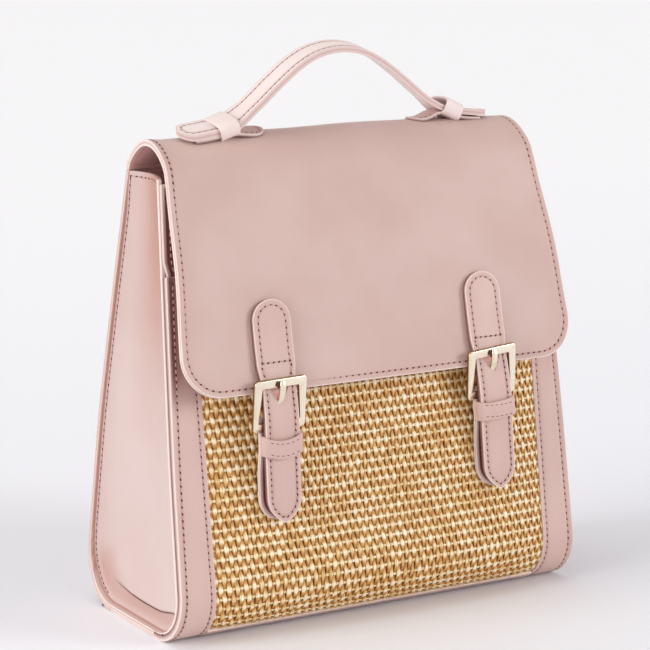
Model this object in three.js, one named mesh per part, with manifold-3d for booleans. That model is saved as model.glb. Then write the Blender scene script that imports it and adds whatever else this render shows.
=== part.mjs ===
// Woven backpack: a small standing leather bag with a straw front, a buckled flap and a top handle.
// Millimetres, +Z up, +X to the right of the front, the front faces -Y.
// The origin is on the floor, under the middle of the bag.

import * as THREE from "three";
import { mergeVertices } from "three/addons/utils/BufferGeometryUtils.js";
import Module from "manifold-3d";

const wasm = await Module();
wasm.setup();

// Driving dimensions

const GAP = 0.3;
const LEATHER = {
  facing: 2,
  wall: 2.2,
  flap: 3,
  strap: 2.6,
  keeper: 1.6,
  handle: 4,
  anchor: 1.8,
  shoulder: 3,
};

const BODY = {
  baseHalfWidth: 130,
  sideTaper: 0.0417,
  baseDepth: 123,
  faceSlope: 0.148,
  top: 250,
  frontTop: 242,
  frontRound: 27,
  backRound: 36,
  backRowStep: 60,
};

const FACING = { top: 199, bandInner: 108, wovenColumns: 16, strawEnd: 28, panelEnd: 30 };
const SWELL = { depth: 8.5, low: 25, high: 199, squareness: 3, rowHeight: 10, panelShare: 0.92 };
const GUSSET = { top: 249.3, inset: 8, wall: 2, flange: 2, frontRound: 30, backRound: 33.5 };

const FLAP = {
  crown: 269.7,
  frontRadius: 28.1,
  frontLean: 17,
  lowerEdge: 137,
  crownHalfWidth: 119.5,
  sideTaper: 0.038,
  cornerRadius: 24,
  rowStep: 30,
  arcStep: 12,
};

const CLOSURE = {
  tabHalfWidth: 12,
  halfWidth: 10.25,
  tabHeights: [187, 172, 158, 143],
  neckTop: 150,
  neckLow: 143,
  seat: 0.4,
  rows: 20,
};
const TIP = { height: 64, length: 14, bluntness: 0.1 };
const BACKING = { halfWidth: 12, tipLength: 12, rows: 7 };
const BUCKLE = {
  width: 31,
  height: 27,
  bar: 4.5,
  thickness: 2.4,
  corner: 2.5,
  topBarZ: 143,
  topBarY: -63.1,
  heelBarY: -60.2,
};
const PRONG = { width: 3, thickness: 1.8, rootY: -60.8, rootZ: 123.4, tipY: -66.4, tipZ: 145.7 };
const SLOT = { halfWidth: 2.2, low: 122, shoulder: 125.5, high: 137.5 };
const KEEPER = { low: 100.5, height: 10.5, front: -65, back: -55.8, corner: 1.2 };

const HANDLE = { halfWidth: 8, tipRadius: 8, restBelow: 274.8, freeAbove: 276.4, rows: 30, columns: 4 };
const ANCHOR = { inner: 48, outer: 94 };
const LOOP = { out: 72, length: 11, tilt: 15.5, middleZ: 278.2, slack: 0.8, corner: 1.5 };
const SHOULDER = { halfWidth: 11.6, topX: 17, lowX: 92, highZ: 240, lowZ: 41, rows: 22 };

// The closure strap below the flap: its middle surface, from the buckle down to the tip.
const CLOSURE_RUN = [
  { y: -62.4, z: 130.5 },
  { y: -63.45, z: 122.5 },
  { y: -63.6, z: 116.5 },
  { y: -63.1, z: 105.5 },
  { y: -62.3, z: 85 },
  { y: -61.7, z: TIP.height },
];

// The backing strap behind it, from its low end up to the heel bar of the buckle.
const BACKING_RUN = [
  { y: -58.75, z: 66 },
  { y: -58.0, z: 78 },
  { y: -57.5, z: 92 },
  { y: -57.4, z: 107 },
  { y: -57.2, z: 123.5 },
];

// One half of the handle: the height of its underside at each distance out from the middle.
const HANDLE_RUN = [
  { out: 0, under: 311 },
  { out: 14, under: 309.3 },
  { out: 27, under: 304 },
  { out: 40, under: 295 },
  { out: 53, under: 285.5 },
  { out: 66, under: 278 },
  { out: 78, under: 274.5 },
  { out: 91, under: 272.9 },
  { out: 104, under: 272.6 },
];

// A shoulder strap seen from the side: how far it stands off the back panel at each height.
const SHOULDER_RUN = [
  { z: SHOULDER.highZ, off: 0.1 },
  { z: 226, off: 0.9 },
  { z: 190, off: 7.5 },
  { z: 145, off: 18 },
  { z: 108, off: 19 },
  { z: 80, off: 11 },
  { z: 56, off: 2.4 },
  { z: SHOULDER.lowZ, off: 0.2 },
];

const COLOURS = { leather: 0xd8aaa0, straw: 0xc9a063, gold: 0xd9b98a };

// Derived angles and places

const FACE_LEAN = Math.atan(BODY.faceSlope);
const LEAN_SIN = Math.sin(FACE_LEAN);
const LEAN_COS = Math.cos(FACE_LEAN);
const HALF_DEPTH = BODY.baseDepth / 2;
const QUARTER = Math.PI / 2;

const radians = THREE.MathUtils.degToRad;

function rimHalfWidth(z) {
  return BODY.baseHalfWidth - BODY.sideTaper * z;
}

function frontY(z) {
  return -HALF_DEPTH + BODY.faceSlope * z;
}

function backY(z) {
  return -frontY(z);
}

// A side profile in the Y-Z plane: straight legs and arcs that follow on from each other.
// The inside of the bag is on its left, and a depth is measured that way.
class LegProfile {
  constructor(start, heading, legs) {
    this.legs = [];
    let place = { ...start, heading };
    let along = 0;
    for (const leg of legs) {
      this.legs.push({ ...leg, along, place });
      place = LegProfile.walk(place, leg, leg.run);
      along += leg.run;
    }
    this.length = along;
  }

  static walk(place, leg, run) {
    if (!leg.radius) {
      const y = place.y + run * Math.cos(place.heading);
      const z = place.z + run * Math.sin(place.heading);
      return { y, z, heading: place.heading };
    }
    const heading = place.heading + run / leg.radius;
    const y = place.y + leg.radius * (Math.sin(heading) - Math.sin(place.heading));
    const z = place.z - leg.radius * (Math.cos(heading) - Math.cos(place.heading));
    return { y, z, heading };
  }

  at(s) {
    const leg = this.legs.findLast((entry) => entry.along <= s) ?? this.legs[0];
    return LegProfile.walk(leg.place, leg, s - leg.along);
  }

  // Stations between two places: closely spaced on the arcs, and at most a given step on the straights.
  stations(from, to, step = Infinity, arcStep = radians(14)) {
    const list = [from];
    for (const leg of this.legs) {
      const start = Math.max(from, leg.along);
      const end = Math.min(to, leg.along + leg.run);
      if (end - start < 0.01) continue;
      const reach = leg.radius ? leg.radius * arcStep : step;
      const count = Math.max(1, Math.ceil((end - start) / reach));
      for (let i = 1; i <= count; i += 1) list.push(start + ((end - start) * i) / count);
    }
    return list;
  }
}

// A side profile through a few points, as a smooth curve.
class SmoothProfile {
  constructor(points) {
    this.curve = new THREE.SplineCurve(points.map((point) => new THREE.Vector2(point.y, point.z)));
    this.length = this.curve.getLength();
  }

  at(s) {
    const share = THREE.MathUtils.clamp(s / this.length, 0, 1);
    const point = this.curve.getPointAt(share);
    const tangent = this.curve.getTangentAt(share);
    return { y: point.x, z: point.y, heading: Math.atan2(tangent.y, tangent.x) };
  }
}

// Evenly spaced numbers from one value to another, both ends included.
function spread(from, to, count) {
  return Array.from({ length: count + 1 }, (_, i) => from + ((to - from) * i) / count);
}

// The rows of a rounded end: how far each lies from the end, and how far the edge is drawn in there.
function roundedEnd(radius, length = radius, steps = 6, bluntness = 0.02) {
  return spread(bluntness, 1, steps).map((share) => {
    const angle = share * QUARTER;
    return { fromEnd: length * (1 - Math.cos(angle)), drawnIn: radius * (1 - Math.sin(angle)) };
  });
}

// Geometry helpers

function positionsOnly(geometry) {
  geometry.deleteAttribute("normal");
  geometry.deleteAttribute("uv");
  return mergeVertices(geometry, 1e-4);
}

function toSolid(geometry) {
  const merged = geometry.attributes.normal ? positionsOnly(geometry) : geometry;
  const vertProperties = new Float32Array(merged.attributes.position.array);
  const triVerts = new Uint32Array(merged.index.array);
  return new wasm.Manifold(new wasm.Mesh({ numProp: 3, vertProperties, triVerts }));
}

function fromSolid(solid) {
  const mesh = solid.getMesh();
  const geometry = new THREE.BufferGeometry();
  geometry.setAttribute("position", new THREE.BufferAttribute(mesh.vertProperties, 3));
  geometry.setIndex(new THREE.BufferAttribute(mesh.triVerts, 1));
  return geometry;
}

function cut(geometry, tool) {
  return fromSolid(toSolid(geometry).subtract(toSolid(tool)));
}

// The same shape on the other side of the bag.
function mirrored(geometry) {
  const copy = geometry.clone();
  const position = copy.attributes.position;
  for (let i = 0; i < position.count; i += 1) position.setX(i, -position.getX(i));
  const index = copy.index;
  for (let i = 0; i < index.count; i += 3) {
    const second = index.getX(i + 1);
    index.setX(i + 1, index.getX(i + 2));
    index.setX(i + 2, second);
  }
  return copy;
}

// A wall that follows a side profile. Each row is a station with the X places of the wall's columns;
// depths are the outer and inner faces, and lift(x, z) moves the wall outwards.
function wallAlong(profile, rows, depths, lift = () => 0) {
  const columns = rows[0].columns.length - 1;
  const geometry = positionsOnly(new THREE.BoxGeometry(1, 1, 1, columns, rows.length - 1, 1));
  const position = geometry.attributes.position;
  for (let i = 0; i < position.count; i += 1) {
    const row = rows[Math.round((position.getY(i) + 0.5) * (rows.length - 1))];
    const x = row.columns[Math.round((position.getX(i) + 0.5) * columns)];
    const place = profile.at(row.s);
    const depth = (position.getZ(i) > 0 ? depths.inner : depths.outer) - lift(x, place.z);
    const y = place.y - depth * Math.sin(place.heading);
    const z = place.z + depth * Math.cos(place.heading);
    position.setXYZ(i, x, y, z);
  }
  return geometry;
}

// An outline drawn in Y and Z, given a thickness along +X from a starting place.
function plateAcross(outline, from, thickness) {
  const settings = { depth: thickness, bevelEnabled: false, curveSegments: 6 };
  const geometry = new THREE.ExtrudeGeometry(outline, settings);
  const basis = new THREE.Matrix4().makeBasis(
    new THREE.Vector3(0, 1, 0),
    new THREE.Vector3(0, 0, 1),
    new THREE.Vector3(1, 0, 0),
  );
  geometry.applyMatrix4(basis);
  geometry.translate(from, 0, 0);
  return positionsOnly(geometry);
}

function roundedRectangle(shape, halfWidth, halfHeight, corner) {
  shape.absarc(halfWidth - corner, corner - halfHeight, corner, -QUARTER, 0);
  shape.absarc(halfWidth - corner, halfHeight - corner, corner, 0, QUARTER);
  shape.absarc(corner - halfWidth, halfHeight - corner, corner, QUARTER, 2 * QUARTER);
  shape.absarc(corner - halfWidth, corner - halfHeight, corner, 2 * QUARTER, 3 * QUARTER);
  shape.closePath();
  return shape;
}

// A rounded rectangular ring, flat in local X and Y, extruded along local Z about its middle.
function ringPlate(halfWidth, halfHeight, wall, thickness, corner) {
  const shape = roundedRectangle(new THREE.Shape(), halfWidth, halfHeight, corner);
  shape.holes.push(roundedRectangle(new THREE.Path(), halfWidth - wall, halfHeight - wall, corner / 2));
  const settings = { depth: thickness, bevelEnabled: false, curveSegments: 3 };
  const geometry = new THREE.ExtrudeGeometry(shape, settings);
  geometry.translate(0, 0, -thickness / 2);
  return positionsOnly(geometry);
}

const materials = {
  leather: () => new THREE.MeshStandardMaterial({ color: COLOURS.leather, roughness: 0.55, metalness: 0 }),
  straw: () => new THREE.MeshStandardMaterial({ color: COLOURS.straw, roughness: 0.8, metalness: 0 }),
  gold: () => new THREE.MeshStandardMaterial({ color: COLOURS.gold, roughness: 0.25, metalness: 1 }),
};

function piece(name, geometry, material) {
  const mesh = new THREE.Mesh(geometry, materials[material]());
  mesh.name = name;
  return mesh;
}

const SIDES = [
  { side: "left", closureX: -69.7 },
  { side: "right", closureX: 67.3 },
];

// The body profile: down the front, round the lower edge, along the base and up the back.

function roundLeg(radius) {
  return { radius, run: radius * (QUARTER + FACE_LEAN) };
}

function tangentHeight(radius) {
  return radius * (1 + LEAN_SIN);
}

function tangentReach(radius) {
  return radius * Math.tan((QUARTER + FACE_LEAN) / 2);
}

const frontRun = (BODY.top - tangentHeight(BODY.frontRound)) / LEAN_COS;
const backRun = (BODY.top - tangentHeight(BODY.backRound)) / LEAN_COS;
const baseRun = BODY.baseDepth - tangentReach(BODY.frontRound) - tangentReach(BODY.backRound);
const bodyStart = { y: frontY(BODY.top), z: BODY.top };
const bodyProfile = new LegProfile(bodyStart, -QUARTER - FACE_LEAN, [
  { run: frontRun },
  roundLeg(BODY.frontRound),
  { run: baseRun },
  roundLeg(BODY.backRound),
  { run: backRun },
]);
const [, , baseLeg, backRoundLeg] = bodyProfile.legs;

function frontStation(z) {
  return (BODY.top - z) / LEAN_COS;
}

// A station on the lower front round, so many degrees before it reaches the base.
function beforeBase(degrees) {
  return baseLeg.along - BODY.frontRound * radians(degrees);
}

function rimColumns(s) {
  const half = rimHalfWidth(bodyProfile.at(s).z);
  return [-half, half];
}

// The stuffed front stands proud between the two bands.
function swell(x, z) {
  const across = 1 - Math.min(1, Math.abs(x / FACING.bandInner)) ** SWELL.squareness;
  const share = THREE.MathUtils.clamp((z - SWELL.low) / (SWELL.high - SWELL.low), 0, 1);
  return SWELL.depth * across * Math.sin(Math.PI * share);
}

function wovenColumnPlaces(edge) {
  const places = spread(-FACING.bandInner, FACING.bandInner, FACING.wovenColumns);
  return [-edge, ...places.slice(1, -1), edge];
}

function buildBody() {
  const group = new THREE.Group();
  const backOfFacing = LEATHER.facing + GAP;

  // The panel and the straw on it share their stations, so that they bend alike.
  const facingTop = frontStation(FACING.top);
  const facingStations = bodyProfile.stations(facingTop, beforeBase(FACING.strawEnd), SWELL.rowHeight);
  const panelStations = [
    ...bodyProfile.stations(frontStation(BODY.frontTop), facingTop, SWELL.rowHeight),
    ...facingStations.slice(1, -1),
    beforeBase(FACING.panelEnd),
  ];
  const panelRows = panelStations.map((s) => {
    const [left, right] = rimColumns(s);
    return { s, columns: [left, ...wovenColumnPlaces(FACING.bandInner), right] };
  });
  const panelDepths = { outer: backOfFacing, inner: backOfFacing + LEATHER.wall };
  const panelSwell = (x, z) => SWELL.panelShare * swell(x, z);
  group.add(piece("front_panel", wallAlong(bodyProfile, panelRows, panelDepths, panelSwell), "leather"));

  const facingDepths = { outer: 0, inner: LEATHER.facing };
  const wovenColumns = wovenColumnPlaces(FACING.bandInner - GAP / 2);
  const wovenRows = facingStations.map((s) => ({ s, columns: wovenColumns }));
  group.add(piece("woven_panel", wallAlong(bodyProfile, wovenRows, facingDepths, swell), "straw"));

  const bandRows = bodyProfile
    .stations(facingTop, baseLeg.along - GAP / 2)
    .map((s) => ({ s, columns: [FACING.bandInner + GAP / 2, rimColumns(s)[1]] }));
  const band = wallAlong(bodyProfile, bandRows, facingDepths);
  group.add(piece("front_band_right", band, "leather"));
  group.add(piece("front_band_left", mirrored(band), "leather"));

  // The base is full width behind the bands, with a tongue between them that meets the straw.
  const tongue = FACING.bandInner - GAP / 2;
  const tongueRows = bodyProfile
    .stations(beforeBase(FACING.strawEnd) + GAP, baseLeg.along + GAP / 2)
    .map((s) => ({ s, columns: [-tongue, tongue] }));
  const fullRows = bodyProfile
    .stations(baseLeg.along + GAP, backRoundLeg.along - GAP / 2)
    .map((s) => ({ s, columns: rimColumns(s) }));
  const wallDepths = { outer: 0, inner: LEATHER.wall };
  const baseRows = [...tongueRows, ...fullRows];
  group.add(piece("base_panel", wallAlong(bodyProfile, baseRows, wallDepths), "leather"));

  const backRows = bodyProfile
    .stations(backRoundLeg.along + GAP / 2, bodyProfile.length, BODY.backRowStep)
    .map((s) => ({ s, columns: [rimColumns(s)[0], 0, rimColumns(s)[1]] }));
  group.add(piece("back_panel", wallAlong(bodyProfile, backRows, wallDepths), "leather"));
  return group;
}

// The outline of a side, inside the panels by the depths given.
function sideOutline(depths, rounds, top) {
  const frontFoot = -HALF_DEPTH + depths.front / LEAN_COS;
  const backFoot = HALF_DEPTH - depths.back / LEAN_COS;
  const frontCentreZ = depths.base + rounds.front;
  const backCentreZ = depths.base + rounds.back;
  const frontCentreY = frontFoot + BODY.faceSlope * frontCentreZ + rounds.front / LEAN_COS;
  const backCentreY = backFoot - BODY.faceSlope * backCentreZ - rounds.back / LEAN_COS;
  const shape = new THREE.Shape();
  shape.moveTo(frontFoot + BODY.faceSlope * top, top);
  shape.lineTo(frontCentreY - rounds.front * LEAN_COS, frontCentreZ + rounds.front * LEAN_SIN);
  shape.absarc(frontCentreY, frontCentreZ, rounds.front, 2 * QUARTER - FACE_LEAN, 3 * QUARTER);
  shape.absarc(backCentreY, backCentreZ, rounds.back, 3 * QUARTER, 4 * QUARTER + FACE_LEAN);
  shape.lineTo(backFoot - BODY.faceSlope * top, top);
  shape.closePath();
  return shape;
}

// A gusset is a sunk side wall with a flange that turns outwards to the rim.
function buildGussets() {
  const group = new THREE.Group();
  const depths = {
    front: LEATHER.facing + GAP + LEATHER.wall + GAP,
    base: LEATHER.wall + GAP,
    back: LEATHER.wall + GAP,
  };
  const pocket = {
    front: depths.front + GUSSET.flange,
    base: depths.base + GUSSET.flange,
    back: depths.back + GUSSET.flange,
  };
  const rounds = { front: GUSSET.frontRound, back: GUSSET.backRound };
  const pocketRounds = { front: rounds.front - GUSSET.flange, back: rounds.back - GUSSET.flange };
  const overshoot = 5;
  const body = plateAcross(sideOutline(depths, rounds, GUSSET.top), 0, GUSSET.wall + GUSSET.inset);
  const hollow = plateAcross(
    sideOutline(pocket, pocketRounds, GUSSET.top + overshoot),
    GUSSET.wall,
    GUSSET.inset + overshoot,
  );
  const gusset = cut(body, hollow);
  const position = gusset.attributes.position;
  for (let i = 0; i < position.count; i += 1) {
    const rim = rimHalfWidth(position.getZ(i));
    position.setX(i, position.getX(i) + rim - GUSSET.wall - GUSSET.inset);
  }
  group.add(piece("gusset_right", gusset, "leather"));
  group.add(piece("gusset_left", mirrored(gusset), "leather"));
  return group;
}

// The flap profile: from the top of the back, over the crown and down the front.

const flapStart = { y: backY(BODY.top + GAP), z: BODY.top + GAP };
const flapBackRadius = (FLAP.crown - flapStart.z) / (1 - LEAN_SIN);
const crownLegs = [
  { radius: flapBackRadius, run: flapBackRadius * (QUARTER - FACE_LEAN) },
  { radius: FLAP.frontRadius, run: FLAP.frontRadius * (QUARTER - radians(FLAP.frontLean)) },
];
const crownProfile = new LegProfile(flapStart, QUARTER + FACE_LEAN, crownLegs);
const crownEnd = crownProfile.at(crownProfile.length);
const flapFall = (crownEnd.z - FLAP.lowerEdge) / Math.cos(radians(FLAP.frontLean));
const flapProfile = new LegProfile(flapStart, QUARTER + FACE_LEAN, [...crownLegs, { run: flapFall }]);

function flapHalfWidth(z) {
  return FLAP.crownHalfWidth + FLAP.sideTaper * (FLAP.crown - z);
}

// A point on the outside of the flap's front at a height, moved out by a distance.
function onFlap(z, out) {
  const along = crownProfile.length + (crownEnd.z - z) / Math.cos(radians(FLAP.frontLean));
  const place = flapProfile.at(along);
  return { y: place.y + out * Math.sin(place.heading), z: place.z - out * Math.cos(place.heading) };
}

function buildFlap() {
  const cornerRows = roundedEnd(FLAP.cornerRadius)
    .map(({ fromEnd, drawnIn }) => ({ s: flapProfile.length - fromEnd, drawnIn }))
    .reverse();
  const plainRows = flapProfile
    .stations(0, flapProfile.length - FLAP.cornerRadius, FLAP.rowStep, radians(FLAP.arcStep))
    .slice(0, -1)
    .map((s) => ({ s, drawnIn: 0 }));
  const rows = [...plainRows, ...cornerRows].map(({ s, drawnIn }) => {
    const half = flapHalfWidth(flapProfile.at(s).z) - drawnIn;
    return { s, columns: [-half, 0, half] };
  });
  return piece("flap", wallAlong(flapProfile, rows, { outer: 0, inner: LEATHER.flap }), "leather");
}

// The closure strap: a round-topped tab on the flap that narrows and runs down through the buckle.
function closureStrapGeometry() {
  const half = LEATHER.strap / 2;
  const onTab = CLOSURE.tabHeights.map((z) => onFlap(z, CLOSURE.seat + half));
  const profile = new SmoothProfile([...onTab, ...CLOSURE_RUN]);
  const top = roundedEnd(CLOSURE.tabHalfWidth).map((row) => ({
    s: row.fromEnd,
    halfWidth: CLOSURE.tabHalfWidth - row.drawnIn,
  }));
  const tip = roundedEnd(CLOSURE.halfWidth, TIP.length, 6, TIP.bluntness).map((row) => ({
    s: profile.length - row.fromEnd,
    halfWidth: CLOSURE.halfWidth - row.drawnIn,
  }));
  const middle = spread(CLOSURE.tabHalfWidth, profile.length - TIP.length, CLOSURE.rows).slice(1, -1);
  const straight = middle.map((s) => {
    const fullness = THREE.MathUtils.smoothstep(profile.at(s).z, CLOSURE.neckLow, CLOSURE.neckTop);
    return { s, halfWidth: THREE.MathUtils.lerp(CLOSURE.halfWidth, CLOSURE.tabHalfWidth, fullness) };
  });
  const rows = [...top, ...straight, ...tip.reverse()].map(({ s, halfWidth }) => ({
    s,
    columns: [-halfWidth, 0, halfWidth],
  }));
  return cut(wallAlong(profile, rows, { outer: -half, inner: half }), prongSlot());
}

// The pointed slot in the strap that lets the prong through.
function prongSlot() {
  const shape = new THREE.Shape();
  shape.moveTo(0, SLOT.low);
  shape.lineTo(SLOT.halfWidth, SLOT.shoulder);
  shape.lineTo(SLOT.halfWidth, SLOT.high);
  shape.lineTo(-SLOT.halfWidth, SLOT.high);
  shape.lineTo(-SLOT.halfWidth, SLOT.shoulder);
  shape.closePath();
  const reach = 20;
  const geometry = new THREE.ExtrudeGeometry(shape, { depth: reach, bevelEnabled: false });
  geometry.rotateX(QUARTER);
  geometry.translate(0, BUCKLE.topBarY + reach / 2, 0);
  return positionsOnly(geometry);
}

function backingStrapGeometry() {
  const half = LEATHER.strap / 2;
  const profile = new SmoothProfile([...BACKING_RUN].reverse());
  const tip = roundedEnd(BACKING.halfWidth, BACKING.tipLength, 6, TIP.bluntness).map((row) => ({
    s: profile.length - row.fromEnd,
    halfWidth: BACKING.halfWidth - row.drawnIn,
  }));
  const straight = spread(0, profile.length - BACKING.tipLength, BACKING.rows)
    .slice(0, -1)
    .map((s) => ({ s, halfWidth: BACKING.halfWidth }));
  const rows = [...straight, ...tip.reverse()].map(({ s, halfWidth }) => ({
    s,
    columns: [-halfWidth, halfWidth],
  }));
  return wallAlong(profile, rows, { outer: -half, inner: half });
}

// The frame stands nearly upright, its top bar outside the strap and its heel bar behind it.
function buckleFrame() {
  const { width, height, bar, thickness, corner } = BUCKLE;
  const heelBarZ = BUCKLE.topBarZ - height + bar;
  const geometry = ringPlate(width / 2, height / 2, bar, thickness, corner);
  const lean = Math.atan2(BUCKLE.heelBarY - BUCKLE.topBarY, BUCKLE.topBarZ - heelBarZ);
  geometry.rotateX(QUARTER + lean);
  geometry.translate(0, (BUCKLE.topBarY + BUCKLE.heelBarY) / 2, (BUCKLE.topBarZ + heelBarZ) / 2);
  return geometry;
}

function buckleProng() {
  const run = new THREE.Vector2(PRONG.tipY - PRONG.rootY, PRONG.tipZ - PRONG.rootZ);
  const geometry = new THREE.CapsuleGeometry(0.5, 1, 3, 8);
  geometry.scale(PRONG.width, run.length() / 2, PRONG.thickness);
  geometry.rotateX(QUARTER + Math.atan2(-run.x, run.y));
  geometry.translate(0, (PRONG.rootY + PRONG.tipY) / 2, (PRONG.rootZ + PRONG.tipZ) / 2);
  return positionsOnly(geometry);
}

function strapKeeper() {
  const halfWidth = BACKING.halfWidth + GAP + LEATHER.keeper;
  const halfDepth = (KEEPER.back - KEEPER.front) / 2 + LEATHER.keeper;
  const geometry = ringPlate(halfWidth, halfDepth, LEATHER.keeper, KEEPER.height, KEEPER.corner);
  geometry.translate(0, (KEEPER.front + KEEPER.back) / 2, KEEPER.low + KEEPER.height / 2);
  return geometry;
}

function buildClosures() {
  const group = new THREE.Group();
  for (const { side, closureX } of SIDES) {
    const closure = new THREE.Group();
    closure.position.x = closureX;
    closure.add(piece(`closure_strap_${side}`, closureStrapGeometry(), "leather"));
    closure.add(piece(`backing_strap_${side}`, backingStrapGeometry(), "leather"));
    closure.add(piece(`buckle_frame_${side}`, buckleFrame(), "gold"));
    closure.add(piece(`buckle_prong_${side}`, buckleProng(), "gold"));
    closure.add(piece(`strap_keeper_${side}`, strapKeeper(), "leather"));
    group.add(closure);
  }
  return group;
}

// The handle: a flat arched strap whose ends lie on two anchor strips, each held down by a loop.

function handleGeometry() {
  const half = LEATHER.handle / 2;
  const outwards = HANDLE_RUN.map((row) => ({ y: row.out, z: row.under + half }));
  const inwards = outwards.slice(1).map((row) => ({ y: -row.y, z: row.z }));
  const profile = new SmoothProfile([...outwards.reverse(), ...inwards]);
  const tip = roundedEnd(HANDLE.halfWidth, HANDLE.tipRadius);
  const straight = spread(HANDLE.tipRadius, profile.length - HANDLE.tipRadius, HANDLE.rows).slice(1, -1);
  const tipRows = tip.map((row) => ({ s: row.fromEnd, halfWidth: HANDLE.halfWidth - row.drawnIn }));
  const farRows = tipRows.map(({ s, halfWidth }) => ({ s: profile.length - s, halfWidth })).reverse();
  const middleRows = straight.map((s) => ({ s, halfWidth: HANDLE.halfWidth }));
  const rows = [...tipRows, ...middleRows, ...farRows].map(({ s, halfWidth }) => ({
    s,
    columns: spread(-halfWidth, halfWidth, HANDLE.columns),
  }));
  return wallAlong(profile, rows, { outer: -half, inner: half }, crownDroop);
}

// Where the handle rests on the crown it is bent across its width to fit it.
function crownDroop(across, z) {
  const share = 1 - THREE.MathUtils.smoothstep(z, HANDLE.restBelow, HANDLE.freeAbove);
  return (-share * across ** 2) / (2 * FLAP.frontRadius);
}

// An anchor strip lies along X on the crown of the flap and follows its curve.
function anchorGeometry() {
  const apex = crownLegs[0].run;
  const rows = spread(apex - HANDLE.halfWidth, apex + HANDLE.halfWidth, HANDLE.columns).map((s) => ({
    s,
    columns: [ANCHOR.inner, ANCHOR.outer],
  }));
  return wallAlong(flapProfile, rows, { outer: -GAP - LEATHER.anchor, inner: -GAP });
}

function loopGeometry() {
  const halfWidth = HANDLE.halfWidth + GAP + LEATHER.keeper;
  const halfHeight = LEATHER.handle / 2 + GAP + LOOP.slack + LEATHER.keeper;
  const geometry = ringPlate(halfWidth, halfHeight, LEATHER.keeper, LOOP.length, LOOP.corner);
  geometry.rotateX(QUARTER);
  geometry.rotateZ(QUARTER);
  geometry.rotateY(radians(LOOP.tilt));
  return geometry;
}

function buildHandle() {
  const group = new THREE.Group();
  const strap = piece("handle_strap", handleGeometry(), "leather");
  strap.rotation.z = QUARTER;
  group.add(strap);
  const anchor = anchorGeometry();
  const loop = loopGeometry();
  loop.translate(LOOP.out, 0, LOOP.middleZ);
  group.add(piece("handle_anchor_right", anchor, "leather"));
  group.add(piece("handle_anchor_left", mirrored(anchor), "leather"));
  group.add(piece("handle_loop_right", loop, "leather"));
  group.add(piece("handle_loop_left", mirrored(loop), "leather"));
  return group;
}

// Two plain shoulder straps on the back, from the upper middle out to the lower corners.
function buildShoulderStraps() {
  const group = new THREE.Group();
  const half = LEATHER.shoulder / 2;
  const seat = (GAP + half) / LEAN_COS;
  const points = SHOULDER_RUN.map(({ z, off }) => ({ y: backY(z) + seat + off, z }));
  const profile = new SmoothProfile(points.reverse());
  const rows = spread(0, profile.length, SHOULDER.rows).map((s) => {
    const share = (profile.at(s).z - SHOULDER.lowZ) / (SHOULDER.highZ - SHOULDER.lowZ);
    const middle = THREE.MathUtils.lerp(SHOULDER.lowX, SHOULDER.topX, share);
    return { s, columns: [middle - SHOULDER.halfWidth, middle + SHOULDER.halfWidth] };
  });
  const strap = wallAlong(profile, rows, { outer: -half, inner: half });
  group.add(piece("shoulder_strap_right", strap, "leather"));
  group.add(piece("shoulder_strap_left", mirrored(strap), "leather"));
  return group;
}

const backpack = new THREE.Group();
backpack.add(buildBody(), buildGussets(), buildFlap());
backpack.add(buildClosures(), buildHandle(), buildShoulderStraps());

export default backpack;
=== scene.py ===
"""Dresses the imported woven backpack: leather panels, straw front, buckled flap, handle and straps.

Sizes are in millimetres until a piece is finished, and then in metres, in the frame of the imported
model: +Z up, +X to the right of the front, and the front faces -Y.
"""

import logging
import math
import random
from bisect import bisect_right
from dataclasses import dataclass, field, replace
from enum import Enum
from typing import Callable, Iterable, Iterator, Optional, Sequence

import bmesh
import bpy
from mathutils import Matrix, Vector, kdtree, noise


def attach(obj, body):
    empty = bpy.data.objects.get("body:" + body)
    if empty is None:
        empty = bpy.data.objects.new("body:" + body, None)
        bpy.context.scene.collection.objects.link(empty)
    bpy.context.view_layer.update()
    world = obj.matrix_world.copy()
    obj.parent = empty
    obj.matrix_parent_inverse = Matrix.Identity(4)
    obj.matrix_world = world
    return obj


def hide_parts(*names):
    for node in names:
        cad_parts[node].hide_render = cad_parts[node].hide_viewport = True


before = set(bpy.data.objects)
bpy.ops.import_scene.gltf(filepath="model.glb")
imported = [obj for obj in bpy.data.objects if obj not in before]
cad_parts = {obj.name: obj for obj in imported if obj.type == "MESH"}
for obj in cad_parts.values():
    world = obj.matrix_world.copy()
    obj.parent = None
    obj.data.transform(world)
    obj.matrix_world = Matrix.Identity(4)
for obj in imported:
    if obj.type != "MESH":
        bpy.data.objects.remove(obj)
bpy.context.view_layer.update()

LOG = logging.getLogger("backpack")
MM = 0.001
QUARTER = math.pi / 2
BODY_NAME = "root"

# How close points lie when they count as level or are welded, in millimetres
FLUSH = 1e-4
SWEEP_WELD = 1e-5
STRAND_WELD = 1e-4
WALL_WELD = 1e-3


class Slot(Enum):
    """The record's material slots."""

    LEATHER = "blush_leather"
    STRAW = "woven_straw"
    GOLD = "pale_gold"


class Side(Enum):
    """The two sides of the bag, with the sign of their X."""

    LEFT = -1
    RIGHT = 1

    @property
    def word(self) -> str:
        """The side's name as the pieces spell it."""
        return self.name.lower()


# Numbers and curves


def smoothstep(value: float, low: float, high: float) -> float:
    """Eases from 0 at low to 1 at high.

    Args:
        value: the number to ease.
        low: where the result is 0.
        high: where the result is 1.

    Returns:
        A share from 0 to 1.
    """
    share = min(1.0, max(0.0, (value - low) / (high - low)))
    return share * share * (3 - 2 * share)


def lerp(low: float, high: float, share: float) -> float:
    """The number that lies a share of the way from low to high."""
    return low + (high - low) * share


def spread(low: float, high: float, count: int) -> list[float]:
    """Evenly spaced numbers from low to high, both included, with count steps."""
    return [lerp(low, high, i / count) for i in range(count + 1)]


EDGE_STEPS = (0.0, 0.7, 1.5, 2.3, 3.0, 3.7, 4.6, 6.4)


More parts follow.
